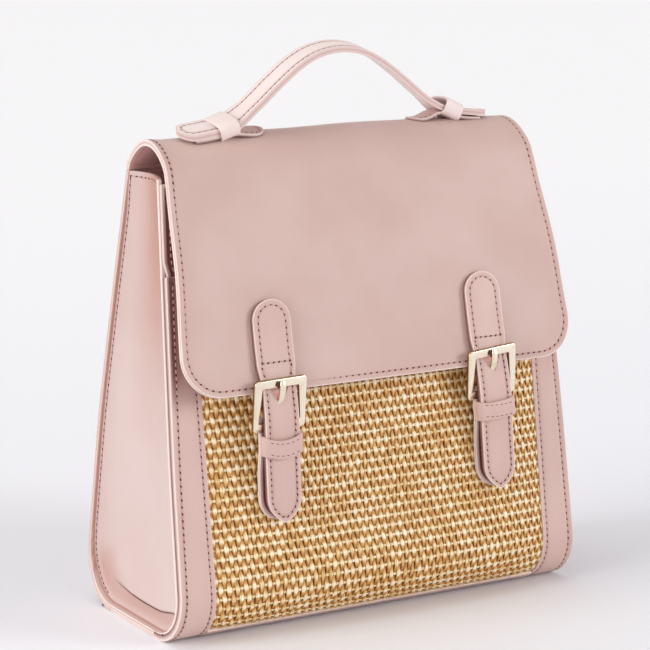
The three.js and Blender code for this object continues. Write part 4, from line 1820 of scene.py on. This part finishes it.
    def fold_line(self) -> bmesh.types.BMesh:
        """A dark tube that paints the shadow under the sagging leather's edge."""
        stations = []
        for share in spread(0, 1, 40):
            y = lerp(-43.0, 34.0, share)
            out = 1.1 * (1 - smoothstep(y, 8, 42)) + 0.1
            full = 0.27 * math.sin(math.pi * lerp(0.06, 0.96, share)) ** 0.4
            thick = full * (1 - 0.6 * smoothstep(y, 0, 34))
            point = self.lay(y, self.crease(y) - 0.45, out)
            place = station(point, Vector((0, 1, 0)), self.outwards)
            stations.append(place @ Matrix.Diagonal((thick, thick, 1, 1)))
        bm = swept(round_section(), stations, False)
        for face in bm.faces:
            face.material_index = 1
        return bm

    def sew(self) -> Sewing:
        """The seam round the hollow and the hem at the top."""
        name = f"gusset_{self.side.word}_stitches"
        sewing = Sewing(name, pitch=3.8, seed=31 + self.side.value)
        path = []
        for s in spread(self.outline.legs[3][0] + 12, self.outline.length - 4, 220):
            spot = self.outline.at(s)
            path.append(Vector((s, self.flange(spot.y, spot.z) + 1.3)))
        sewing.along(path, lambda p, h: self.surface(p.x, p.y, h + 0.02))
        for y, z in self.THREAD_ENDS:
            end = Vector((self.side.value * (SHAPE.base_half_width + 0.05), y, z))
            sewing.bead(end, Vector((0, 1, 0)), self.outwards, (0.8, 0.7, 0.4), 1)
        z = self.top - 2.8
        front = SHAPE.front_y(z) + self.front_inset + 3.6
        back = -SHAPE.front_y(z) - self.other_inset - 2.4
        hem = [Vector((y, z)) for y in spread(back, front, 30)]
        sewing.along(hem, lambda p, h: self.lay(p.x, p.y, h + 0.02))
        return sewing


@dataclass
class Flap:
    """The flap: from the top of the back, over the mouth and down the front."""

    finishes: Finishes
    crown: float = 269.7
    front_radius: float = 28.1
    front_lean: float = math.radians(17)
    lower_edge: float = 137.0
    crown_half: float = 116.6
    side_taper: float = 0.075
    corner: float = 24.0
    thickness: float = 3.4
    stitch_inset: float = 3.2

    def __post_init__(self) -> None:
        """Settles the profile."""
        start = Spot(-SHAPE.front_y(SHAPE.top + 0.3), SHAPE.top + 0.3, QUARTER + SHAPE.lean)
        back_radius = (self.crown - start.z) / (1 - math.sin(SHAPE.lean))
        legs = [
            (back_radius * (QUARTER - SHAPE.lean), back_radius),
            (self.front_radius * (QUARTER - self.front_lean), self.front_radius),
        ]
        arch = LegProfile(start, legs)
        self.arch_end = arch.at(arch.length)
        self.arch_length = arch.length
        fall = (self.arch_end.z - self.lower_edge) / math.cos(self.front_lean)
        self.profile = LegProfile(start, [*legs, (fall, 0)])
        self.drape = Drape(self.profile, lift=self.sag)

    def sag(self, x: float, z: float) -> float:
        """The flap bulges out below its bend, and lies a little fuller in its middle."""
        lower = smoothstep(230 - z, 0, 60)
        bulge = 2.8 * math.exp(-(((z - 200) / 28) ** 2)) * (z < 249)
        fall = 1.5 * smoothstep(abs(x), 50, 118) * smoothstep(z, 252, 266)
        return bulge + 0.6 * lower * max(0.0, 1 - (x / 110) ** 2) - fall

    def half(self, along: float) -> float:
        """Half the flap's width at a distance along."""
        return self.crown_half + self.side_taper * (self.crown - self.profile.at(along).z)

    def front(self, z: float, out: float) -> tuple[float, float]:
        """The Y and Z of a point on the flap's front at a height, moved out by a distance."""
        spot = self.profile.at(self.arch_length + (self.arch_end.z - z) / math.cos(self.front_lean))
        out += self.sag(70, z)
        return spot.y + out * math.sin(spot.heading), spot.z - out * math.cos(spot.heading)

    def build(self) -> None:
        """Builds and dresses the flap."""
        length = self.profile.length
        straight = edge_spread(length - self.corner, 4.5, fine_end=False)[:-1]
        rows = [Row(p, self.half(p)) for p in straight]
        for angle in spread(QUARTER, 0.03, 15):
            s = length - self.corner * (1 - math.cos(angle))
            rows.append(Row(s, self.half(s) - self.corner * (1 - math.sin(angle))))
        edges = {"round_off": 0.7, "groove": 0.35, "wave": 1.0, "lined": True}
        cut = Cut(rows, columns_for(244, 5.5), self.thickness, **edges)
        layers = [self.finishes.leather, self.finishes.lining]
        finish_piece("flap", cut.laid(self.drape), layers, Slot.LEATHER, ["flap"])
        sewing = Sewing("flap_stitches", pitch=3.9, seed=41)
        sewing.sew(cut, self.drape, self.stitch_inset)
        path = inset_path(cut.outline, self.stitch_inset)
        for run in runs_where(path, lambda p: 8 < p.y < self.arch_length):
            sewing.along(run, lambda p, h: self.drape.place(p.x, p.y, -self.thickness - h))
        sewing.finish(self.finishes)


@dataclass
class Closure:
    """One closure: strap with its tab, backing strap, buckle, prong and keeper.

    Attributes:
        finishes: the bag's materials.
        flap: the flap that the tab is sewn to.
        side: which side it is on.
        x: where the middle of its tab stands.
        slant: how far it strays sideways for each millimetre further down.
        upright: how much of that is taken back for each millimetre above the buckle.
        stray: how much further its tip strays for each millimetre below the keeper.
        tab_top: the height of the tab's upper end.
        lift: how much higher than drawn its buckle hangs.
        keeper_height: the height of the keeper's middle.
        smile: how much higher the keeper's ends sit than its middle.
    """

    finishes: Finishes
    flap: Flap
    side: Side
    x: float
    slant: float
    upright: float
    stray: float
    tab_top: float
    lift: float
    keeper_height: float
    smile: float
    thickness: float = 3.0
    tab_half: float = 11.5
    strap_half: float = 10.25
    backing_half: float = 11.3
    tip_length: float = 14.5
    tab_middle: float = 165.0
    neck: float = 146.0

    TAB_HEIGHTS = (172.0, 158.0, 143.0)
    STRAP_RUN = (
        (-62.4, 130.5), (-63.45, 122.5), (-63.6, 116.5), (-63.1, 105.5), (-62.3, 85.0),
        (-61.7, 64.8),
    )
    BACKING_RUN = ((-58.6, 123.5), (-59.2, 107.0), (-57.5, 93.0), (-57.5, 78.0), (-58.6, 66.0))
    PRONG_RUN = (
        (-60.0, 119.5), (-60.2, 126.0), (-62.0, 131.2), (-64.4, 135.0), (-65.6, 139.0),
        (-66.0, 142.0), (-65.6, 144.4),
    )
    PRONG_SHARES = (0.0, 0.02, 0.1, 0.2, 0.35, 0.5, 0.65, 0.8, 0.9, 0.95, 0.98, 1.0)
    BUCKLE = (32.0, 29.0, 4.8, 2.4)
    BARS = ((-63.1, 143.0), (-60.0, 118.6))
    SLOT = ((1.2, 131.6), (5.4, 139.5), (5.4, 141.0), (-5.4, 141.0), (-5.4, 139.5), (-1.2, 131.6))

    def __post_init__(self) -> None:
        """Settles where the buckle hangs."""
        self.shift = Vector((0, self.lift * math.tan(self.flap.front_lean), self.lift))

    def middle(self, z: float) -> float:
        """The X of the closure's middle line at a height."""
        return self.x + self.slant * (self.tab_middle - z) + self.upright * max(0.0, z - self.neck)

    def draped(self, profile: SmoothProfile, stray: float = 0.0) -> Drape:
        """Lays a strap along the slanting middle line, its tip astray by a share of its length."""

        def middle(along: float) -> float:
            """The X of the strap's middle line at a distance along it."""
            z = profile.at(along).z
            return self.middle(z) + stray * max(0.0, self.keeper_height - z)

        return Drape(profile, middle=middle)

    def hang(self, bm: bmesh.types.BMesh, height: float) -> None:
        """Moves a piece that was made upright at X 0 to its place on the slanting middle line."""
        turn = Matrix.Rotation(-math.atan(self.slant), 3, "Y")
        bmesh.ops.rotate(bm, cent=(0, 0, height), matrix=turn, verts=bm.verts[:])
        bmesh.ops.translate(bm, vec=(self.middle(height), 0, 0), verts=bm.verts[:])

    def build(self) -> None:
        """Builds and dresses the closure."""
        self.build_strap()
        self.build_backing()
        self.build_frame()
        self.build_prong()
        self.build_keeper()

    def name(self, part: str) -> str:
        """The name of one of its parts."""
        return f"{part}_{self.side.word}"

    def build_strap(self) -> None:
        """The strap, from its round-topped tab down through the buckle to its tip."""
        seat = self.thickness / 2 + 0.5
        heights = (self.tab_top, *self.TAB_HEIGHTS)
        profile = SmoothProfile([*(self.flap.front(z, seat) for z in heights), *self.STRAP_RUN])
        rows = [Row(d, half) for d, half in round_end(self.tab_half, self.tab_half, 10)]
        length = profile.length
        for s in spread(self.tab_half, length - self.tip_length, 46)[1:-1]:
            full = smoothstep(profile.at(s).z, 142.5, 152)
            rows.append(Row(s, lerp(self.strap_half, self.tab_half, full)))
        tip = pointed_end(self.strap_half, self.tip_length)
        rows += [Row(length - d, half) for d, half in reversed(tip)]
        face = self.thickness / 2
        cut = Cut(rows, columns_for(22, 2.4), self.thickness, face=face, round_off=0.6, foot=0.9)
        drape = self.draped(profile, self.stray)
        name = self.name("closure_strap")
        layers = [self.finishes.band_leather, self.finishes.hole]
        self.cut_slot(finish_piece(name, cut.laid(drape), layers, Slot.LEATHER, [name]))
        sewing = Sewing(self.name("closure_stitches"), pitch=3.5, seed=51 + self.side.value)
        box = self.along_at(profile, 152.5)
        self.line_slot(profile, drape)
        tab_inset, strap_inset = 3.1, 2.3

        def bare(point: Vector) -> bool:
            """Whether a point lies on the open strap below the tab's box of stitches."""
            return point.y > box + 2 and not self.hidden(profile.at(point.y).z)

        sewing.sew(cut, drape, tab_inset, lambda p: p.y < box)
        sewing.sew(cut, drape, strap_inset, bare)
        row = self.tab_half - tab_inset
        level = [Vector((lerp(-row, row, k / 10), box)) for k in range(11)]
        depth = cut.face + 0.05
        sewing.along(level, lambda p, h: drape.place(p.x, p.y, depth + h))
        # A dark bead that paints the shadow beside the prong's tip on the top bar
        prong_shadow = Vector((self.middle(142.0) - 2.3, -65.1, 142.0)) + self.shift
        sewing.bead(prong_shadow, Vector((0, 0, 1)), Vector((0, -1, 0)), (2.2, 0.8, 0.5), 1)
        sewing.finish(self.finishes)

    @staticmethod
    def along_at(profile: SmoothProfile, z: float) -> float:
        """How far along a falling profile a height is."""
        along = 0.0
        while profile.at(along).z > z:
            along += 0.5
        return along

    def line_slot(self, profile: SmoothProfile, drape: Drape) -> None:
        """The strap's inner layer, which shows through the slot."""
        high, low = self.along_at(profile, 147), self.along_at(profile, 125)
        rows = [Row(s, self.strap_half - 1.2) for s in spread(high, low, 8)]
        face = -self.thickness / 2 - 0.1
        cut = Cut(rows, spread(-1, 1, 6), 0.8, face=face, groove=0.0, seam=0.0, round_off=0.2)
        lining = [self.finishes.lining]
        finish_piece(self.name("slot_lining"), cut.laid(drape), lining, Slot.LEATHER)

    def hidden(self, z: float) -> bool:
        """Whether the keeper or the buckle's bar covers the strap at a height."""
        return abs(z - self.keeper_height) < 5.4 or abs(z - self.BARS[0][1] - self.lift) < 3

    def cut_slot(self, strap: bpy.types.Object) -> None:
        """Cuts the pointed slot that lets the prong through.

        Args:
            strap: the strap's object, whose mesh is replaced by the cut one.
        """
        bm = bmesh.new()
        count = len(self.SLOT)
        ring = bmesh.ops.create_circle(bm, cap_ends=True, segments=count, radius=1)["verts"]
        for vert, (x, z) in zip(ring, self.SLOT):
            vert.co = (self.middle(z) + x, -70, z + self.lift)
        thicken(bm, (0, 20, 0))
        bmesh.ops.scale(bm, vec=(MM, MM, MM), verts=bm.verts[:])
        mesh = new_mesh("slot_cutter", bm, [self.finishes.band_leather])
        cutter = add_object("slot_cutter", mesh)
        hole = strap.modifiers.new("slot", "BOOLEAN")
        hole.operation = "DIFFERENCE"
        hole.solver = "EXACT"
        hole.object = cutter
        bpy.context.view_layer.update()
        graph = bpy.context.evaluated_depsgraph_get()
        made = bpy.data.meshes.new_from_object(strap.evaluated_get(graph))
        strap.modifiers.clear()
        old = strap.data
        strap.data = made
        bpy.data.meshes.remove(old)
        made.name = strap.name
        bpy.data.objects.remove(cutter)
        bpy.data.meshes.remove(mesh)

    def build_backing(self) -> None:
        """The strap behind, which holds the buckle and the keeper."""
        profile = SmoothProfile(self.BACKING_RUN)
        tip = round_end(self.backing_half, 12.0, 9, 0.1)
        straight = edge_spread(profile.length - 12, 4, fine_end=False)[:-1]
        rows = [Row(p, self.backing_half) for p in straight]
        rows += [Row(profile.length - d, half) for d, half in reversed(tip)]
        # upper paints a deep shade over the strap's face, in the gap beside the closure strap
        cut = Cut(rows, columns_for(24, 2.6), 2.6, face=1.3, round_off=0.6, upper=0.9)
        name = self.name("backing_strap")
        bm = cut.laid(self.draped(profile))
        finish_piece(name, bm, [self.finishes.band_leather], Slot.LEATHER, [name])

    def build_frame(self) -> None:
        """The buckle's frame: a flat ring with bevelled edges, leaning back at its heel."""
        width, height, bar, thickness = self.BUCKLE
        bm = bmesh.new()
        bmesh.ops.create_cube(bm, size=1, matrix=Matrix.Diagonal((width, height, thickness, 1)))
        bm.faces.ensure_lookup_table()
        flats = [f for f in bm.faces if abs(f.normal.z) > 0.9]
        bmesh.ops.inset_individual(bm, faces=flats, thickness=bar, use_even_offset=True)
        inner = [e for f in flats for e in f.edges]
        bmesh.ops.delete(bm, geom=flats, context="FACES_ONLY")
        bmesh.ops.bridge_loops(bm, edges=inner)

        def upright(edge: bmesh.types.BMEdge) -> bool:
            """Whether an edge runs through the ring's thickness."""
            return abs(edge.verts[0].co.z - edge.verts[1].co.z) > thickness * 0.9

        def in_hollow(edge: bmesh.types.BMEdge) -> bool:
            """Whether an edge stands round the ring's opening."""
            place = edge.verts[0].co
            return abs(place.x) < width / 2 - bar + 3 and abs(place.y) < height / 2 - bar + 0.2

        ribs = [e for e in bm.edges if upright(e)]
        outer = [e for e in ribs if abs(e.verts[0].co.x) > width / 2 - 0.1]
        for vert in {v for e in ribs if e not in outer for v in e.verts}:
            if vert.co.y < 0:
                vert.co.x *= 1.13
        round_over(bm, outer, 2.2, 4)
        round_over(bm, [e for e in bm.edges if upright(e) and in_hollow(e)], 0.8, 3)
        bm.normal_update()
        rims = [e for e in bm.edges if len(e.link_faces) == 2 and e.calc_face_angle() > 1.2]
        round_over(bm, rims, 0.55, 2)
        # Painted dark reflection on the sides and bevels; the flat faces stay clean
        tarnish = bm.verts.layers.float.new("tarnish")
        face = thickness / 2
        for vert in bm.verts:
            vert[tarnish] = 1 - smoothstep(abs(vert.co.z), face - 0.5, face - 0.05)
        top, heel = self.BARS
        lean = math.atan2(heel[0] - top[0], top[1] - heel[1])
        turn = Matrix.Rotation(QUARTER + lean, 3, "X")
        bmesh.ops.rotate(bm, cent=(0, 0, 0), matrix=turn, verts=bm.verts[:])
        middle = Vector((0, (top[0] + heel[0]) / 2, (top[1] + heel[1]) / 2))
        bmesh.ops.translate(bm, vec=middle + self.shift, verts=bm.verts[:])
        self.hang(bm, middle.z + self.lift)
        bmesh.ops.recalc_face_normals(bm, faces=bm.faces[:])
        name = self.name("buckle_frame")
        finish_piece(name, bm, [self.finishes.gold], Slot.GOLD, [name], sharp=50)

    def build_prong(self) -> None:
        """The prong: a tapered rod from the heel bar, through the slot and over the top bar."""
        run = SmoothProfile(self.PRONG_RUN)
        section = rounded_box(1.0, 1.0, 0.55, 2)
        stations = []
        for share in self.PRONG_SHARES:
            spot = run.at(run.length * share)
            tip = 1 - smoothstep(share, 0.92, 1.0) * 0.4
            ahead = Vector((0, math.cos(spot.heading), math.sin(spot.heading)))
            point = Vector((0, spot.y, spot.z)) + self.shift
            place = station(point, ahead, Vector((0, -1, 0.2)))
            stations.append(place @ Matrix.Diagonal((1.85 * tip, 1.1 * tip, 1, 1)))
        bm = swept(section, stations, False)
        self.hang(bm, self.BARS[0][1] + self.lift)
        name = self.name("buckle_prong")
        finish_piece(name, bm, [self.finishes.gold], Slot.GOLD, [name], sharp=60)

    def build_keeper(self) -> None:
        """The keeper: a leather loop round both straps, with two sewn lines."""
        half_height, wall = 5.1, 1.7
        front, back = -66.0, -60.7
        half_depth = (back - front) / 2
        centre = Vector((0, (front + back) / 2, self.keeper_height))
        ring = rounded_box(self.strap_half + 1.2, half_depth, 2.0, 6)
        section = rounded_box(half_height, wall / 2, 0.7, 3)
        dense = resampled(ring, 1.4, True)
        stations = []
        for i, p in enumerate(dense):
            run = dense[(i + 1) % len(dense)] - dense[i - 1]
            out = Vector((run.y, -run.x, 0))
            bow = 0.5 * (1 - (p.x / self.backing_half) ** 2) * (p.y < 0)
            flare = 1 + 0.07 * abs(p.x / self.backing_half) ** 4
            rise = self.smile * (p.x / self.backing_half) ** 2
            place = station(centre + Vector((p.x, p.y - bow, rise)), run.to_3d(), out)
            stations.append(place @ Matrix.Diagonal((flare, 1, 1, 1)))
        bm = swept(section, stations, True)
        self.hang(bm, self.keeper_height)
        name = self.name("strap_keeper")
        finish_piece(name, bm, [self.finishes.band_leather], Slot.LEATHER, [name], sharp=60)
        sewing = Sewing(self.name("keeper_stitches"), pitch=3.0, seed=61 + self.side.value)

        def on_front(point: Vector, height: float) -> Vector:
            """A place on the keeper's bowed front, over a flat point."""
            bow = 0.5 * (1 - (point.x / self.backing_half) ** 2)
            level = self.keeper_height + point.y + self.smile * (point.x / self.backing_half) ** 2
            y = front - wall / 2 - bow - height + 0.05
            return Vector((self.middle(level) + point.x, y, level))

        for level in (-3.3, 3.3):
            path = [Vector((x, level)) for x in spread(-9.5, 9.5, 16)]
            sewing.along(path, on_front, Stitch.SUNK)
        sewing.finish(self.finishes)


@dataclass
class Handle:
    """The top handle: an arched strap, two anchor strips on the flap and two loops."""

    finishes: Finishes
    flap: Flap
    half: float = 8.0
    thickness: float = 3.4
    anchor_thickness: float = 1.6
    arch_tilt: float = 0.16
    loop_out: float = 72.0
    skew: float = 0.03

    SETTLED = {Side.LEFT: (1.2, 0.2), Side.RIGHT: (2.8, 0.3)}
    END_TILT = {Side.LEFT: 0.3, Side.RIGHT: -0.08}
    LOOP = {Side.LEFT: (273.3, 3.85, math.radians(18)), Side.RIGHT: (274.4, 4.3, math.radians(25))}
    ANCHOR_ARCH = {Side.LEFT: 0.0, Side.RIGHT: 2.4}
    RUN = (
        (0, 311.8), (14, 309.8), (27, 303.8), (40, 294.0), (53, 283.0), (62, 276.6),
        (67, 274.1), (72, 272.6), (78, 271.8), (84, 271.1), (89, 270.5), (99.2, 269.6),
    )
    ANCHOR_RUN = (
        (47, 270.5), (53, 270.5), (58, 270.8), (63, 271.5), (66.5, 271.8), (71, 271.6),
        (77, 271.0), (84, 269.9), (92, 269.3),
    )

    def build(self) -> None:
        """Builds and dresses the handle."""
        self.build_strap()
        for side in Side:
            self.build_anchor(side)
            self.build_loop(side)

    def settled(self, side: Side, out: float, z: float) -> tuple[float, float]:
        """A point of the handle's run, moved to where that side of it rests on the crown."""
        wider, lower = self.SETTLED[side]
        x = -side.value * (out + wider * smoothstep(out, 20, 60))
        return x, z - lower * smoothstep(out, 40, 75)

    def bend(self, across: float) -> float:
        """The drop across a strip's width where it follows the crown."""
        return across * across / (2 * self.flap.front_radius)

    def build_strap(self) -> None:
        """The strap, with a rounded tip at each end, sewn along both edges."""
        middle = [(out, under + self.thickness / 2) for out, under in self.RUN]
        points = [self.settled(Side.LEFT, *point) for point in reversed(middle)]
        points += [self.settled(Side.RIGHT, *point) for point in middle[1:]]
        profile = SmoothProfile(points)
        length = profile.length
        tip = round_end(self.half, self.half, 9)
        rows = [Row(d, half) for d, half in tip]
        rows += [Row(s, self.half) for s in spread(self.half, length - self.half, 96)[1:-1]]
        rows += [Row(length - d, half) for d, half in reversed(tip)]
        edges = {"face": self.thickness / 2, "round_off": 0.6, "groove": 0.12, "seam": 2.6}
        cut = Cut(rows, columns_for(16, 2.2), self.thickness, **edges)

        def twist(along: float) -> float:
            """How far the strap leans at a distance along it."""
            spot = profile.at(along)
            tilt = self.END_TILT[Side.LEFT if spot.y > 0 else Side.RIGHT]
            return lerp(tilt, self.arch_tilt, smoothstep(spot.z, 273.5, 284.0))

        def resting(across: float, z: float) -> float:
            """How far the strap's edges hang down where it rests on the crown."""
            return -0.5 * self.bend(across) * (1 - smoothstep(z, 273.5, 280.0))

        drape = Drape(profile, lift=resting, twist=twist, turned=True, skew=self.skew)
        pale = [self.finishes.handle_leather]
        finish_piece("handle_strap", cut.laid(drape), pale, Slot.LEATHER, ["handle_strap"])
        sewing = Sewing("handle_stitches", pitch=3.6, seed=71)
        sewing.sew(cut, drape, 2.6, lambda p: not 22 < p.y < 36 and not 22 < length - p.y < 36)
        sewing.finish(self.finishes)

    def build_anchor(self, side: Side) -> None:
        """An anchor strip: sewn flat at its inner end, led up into the loop and flat again."""
        arch = self.ANCHOR_ARCH[side]
        points = []
        for out, z in self.ANCHOR_RUN:
            rise = arch * math.exp(-(((out - 63) / 5.5) ** 2))
            points.append(self.settled(side, out, z + rise))
        profile = SmoothProfile(sorted(points, reverse=True))
        inner = profile.length if side is Side.LEFT else 0.0
        straight = edge_spread(profile.length - self.half, 2.6, fine_start=False)[1:]
        rows = [Row(abs(inner - d), half) for d, half in round_end(self.half, self.half)]
        rows += [Row(abs(inner - self.half - d), self.half) for d in straight]
        rows.sort(key=lambda row: row.along)
        thickness = self.anchor_thickness
        edges = {"face": thickness / 2, "round_off": 0.5, "groove": 0.0, "seam": 2.4, "foot": 0.9}
        cut = Cut(rows, columns_for(16, 2.4), thickness, **edges)
        tilt = 0.6 * self.END_TILT[side]
        drape = Drape(
            profile,
            lift=lambda across, z: -self.bend(across),
            twist=lambda along: tilt,
            turned=True,
            skew=self.skew,
        )
        name = f"handle_anchor_{side.word}"
        finish_piece(name, cut.laid(drape), [self.finishes.leather], Slot.LEATHER, [name])
        sewing = Sewing(f"{name}_stitches", pitch=3.2, seed=81 + side.value)
        sewing.sew(cut, drape, 2.4, lambda p: abs(p.y - inner) < 13)
        sewing.finish(self.finishes)

    def build_loop(self, side: Side) -> None:
        """A loop of leather that holds the strap down on its anchor."""
        wall, half_length = 1.5, 6.0
        height, half_height, lean_angle = self.LOOP[side]
        ring = rounded_box(self.half + 1.4, half_height, 2.6, 6)
        section = rounded_box(half_length, wall / 2, 0.6, 3)
        out = self.loop_out + self.SETTLED[side][0]
        centre = Vector((side.value * out, side.value * self.skew * out, height))
        lean = Matrix.Rotation(side.value * lean_angle, 4, "Y")
        tilt = lean @ Matrix.Rotation(math.atan(0.75 * self.END_TILT[side]), 4, "X")
        dense = resampled(ring, 1.3, True)
        stations = []
        for i, p in enumerate(dense):
            run = dense[(i + 1) % len(dense)] - dense[i - 1]
            crown = 0.5 * (1 - (p.x / self.half) ** 2) if p.y > 0 else 0.0
            point = Vector((0, p.x, p.y + crown))
            stations.append(station(point, Vector((0, run.x, run.y)), Vector((0, run.y, -run.x))))
        bm = swept(section, [Matrix.Translation(centre) @ tilt @ s for s in stations], True)
        name = f"handle_loop_{side.word}"
        finish_piece(name, bm, [self.finishes.handle_leather], Slot.LEATHER, [name], sharp=60)


@dataclass
class ShoulderStraps:
    """Two plain straps on the back, from the upper middle out to the lower corners."""

    finishes: Finishes
    half: float = 11.6
    thickness: float = 3.2
    top_x: float = 17.0
    low_x: float = 92.0
    high: float = 240.0
    low: float = 41.0

    RUN = (
        (41, 0.2), (56, 2.4), (80, 11.0), (108, 19.0), (145, 18.0), (190, 7.5), (226, 0.9),
        (240, 0.1),
    )

    def build(self) -> None:
        """Builds and dresses both straps."""
        for side in Side:
            self.build_strap(side)

    def build_strap(self, side: Side) -> None:
        """One strap, sewn along its edges."""
        seat = (0.3 + self.thickness / 2) / math.cos(SHAPE.lean)
        profile = SmoothProfile([(-SHAPE.front_y(z) + seat + off, z) for z, off in self.RUN])

        def middle(along: float) -> float:
            """The X of the strap's middle line at a distance along it."""
            share = (profile.at(along).z - self.low) / (self.high - self.low)
            return side.value * lerp(self.low_x, self.top_x, share)

        rows = [Row(p, self.half) for p in edge_spread(profile.length, 4)]
        face = self.thickness / 2
        cut = Cut(rows, columns_for(23, 2.6), self.thickness, face=face, round_off=0.8)
        drape = Drape(profile, middle=middle)
        name = f"shoulder_strap_{side.word}"
        finish_piece(name, cut.laid(drape), [self.finishes.leather], Slot.LEATHER, [name])
        sewing = Sewing(f"{name}_stitches", pitch=4.0, seed=91 + side.value)
        sewing.sew(cut, drape, 3.0)
        sewing.finish(self.finishes)


# The room


@dataclass
class Studio:
    """Pale floor, soft lights and the camera at the photograph's angle."""

    yaw: float = math.radians(31.05)
    pitch: float = math.radians(11.31)
    roll: float = math.radians(0.18)
    target: Vector = field(default_factory=lambda: Vector((-5.96, 0, 156.26)) * MM)
    distance: float = 1.41433
    focal: float = 2500.0
    image_width: float = 650.0
    sensor: float = 36.0

    def build(self) -> None:
        """Builds the room."""
        bpy.context.scene.view_settings.view_transform = "Standard"
        self.build_camera()
        self.build_floor()
        self.build_world()
        self.build_light("side_light", (-0.95, -0.02, 0.34), 1.75, 40)
        self.build_light("front_light", (0.62, -0.66, 0.30), 1.3, 26)
        self.build_light("top_light", (-0.25, 0.15, 1.0), 0.8, 50)

    def build_camera(self) -> None:
        """The camera, at the place fitted to the photograph."""
        east, north, flat = math.sin(self.yaw), math.cos(self.yaw), math.cos(self.pitch)
        ahead = Vector((east * flat, north * flat, -math.sin(self.pitch)))
        level = Vector((math.cos(self.yaw), -math.sin(self.yaw), 0))
        upright = level.cross(ahead)
        right = level * math.cos(self.roll) + upright * math.sin(self.roll)
        up = upright * math.cos(self.roll) - level * math.sin(self.roll)
        data = bpy.data.cameras.new("camera")
        data.sensor_width = self.sensor
        data.lens = self.focal * self.sensor / self.image_width
        camera = add_object("camera", data)
        turn = Matrix((right, up, -ahead)).transposed().to_4x4()
        camera.matrix_world = Matrix.Translation(self.target - ahead * self.distance) @ turn
        bpy.context.scene.camera = camera

    def build_floor(self) -> None:
        """A wide pale floor, painted paler further back to stand in for brighter light there."""
        material, tree, shader = new_material("pale_floor")
        where = tree.add("TexCoord").outputs["Object"]
        depth = tree.add("SeparateXYZ", {"Vector": where}).outputs["Y"]
        # painted light: the floor turns paler towards the back
        far = tree.ease(depth, -0.5, 1.6, 0.0, 1.0)
        tone = tree.mix(far, (0.885, 0.89, 0.93, 1), (0.97, 0.965, 0.975, 1))
        tree.feed(shader, {"Base Color": tone, "Roughness": 0.7})
        bm = bmesh.new()
        bmesh.ops.create_grid(bm, x_segments=2, y_segments=2, size=14)
        floor = add_object("floor", new_mesh("floor", bm, [material]))

    def build_world(self) -> None:
        """An even pale surround."""
        world = bpy.data.worlds.new("surround")
        world.use_nodes = True
        tree = Tree(world.node_tree)
        where = tree.add("TexCoord").outputs["Generated"]
        height = tree.add("SeparateXYZ", {"Vector": where}).outputs["Z"]
        high = tree.ease(height, 0.1, 0.9, 0.0, 1.0)
        tone = tree.mix(high, (0.75, 0.74, 0.745, 1), (0.30, 0.29, 0.295, 1))
        tree.feed(world.node_tree.nodes["Background"], {"Color": tone})
        bpy.context.scene.world = world

    def build_light(
        self, name: str, place: tuple[float, float, float], power: float, spread_angle: float
    ) -> None:
        """A broad soft light that shines evenly from one direction.

        Args:
            name: its name.
            place: the direction that it shines from.
            power: its strength.
            spread_angle: how broad it is, in degrees.
        """
        data = bpy.data.lights.new(name, "SUN")
        data.energy = power
        data.angle = math.radians(spread_angle)
        turn = (-Vector(place)).to_track_quat("-Z", "Y").to_matrix().to_4x4()
        add_object(name, data).matrix_world = Matrix.Translation(place) @ turn


def main() -> None:
    """Builds the room and then the bag, piece by piece."""
    logging.basicConfig(level=logging.INFO, format="%(message)s")
    Studio().build()
    finishes = Finishes()
    Walls(finishes).build()
    WovenFront(finishes).build()
    for side in Side:
        Gusset(finishes, side).build()
    flap = Flap(finishes)
    flap.build()
    left = Closure(
        finishes,
        flap,
        Side.LEFT,
        x=-72.2,
        slant=0.025,
        upright=0.053,
        stray=0.042,
        tab_top=184.1,
        lift=-0.2,
        keeper_height=106.4,
        smile=2.6,
    )
    right = Closure(
        finishes,
        flap,
        Side.RIGHT,
        x=63.8,
        slant=0.081,
        upright=0.09,
        stray=0.03,
        tab_top=187.0,
        lift=2.2,
        keeper_height=111.6,
        smile=0.8,
    )
    for closure in (left, right):
        closure.build()
    Handle(finishes, flap).build()
    ShoulderStraps(finishes).build()


if __name__ == "__main__":
    main()
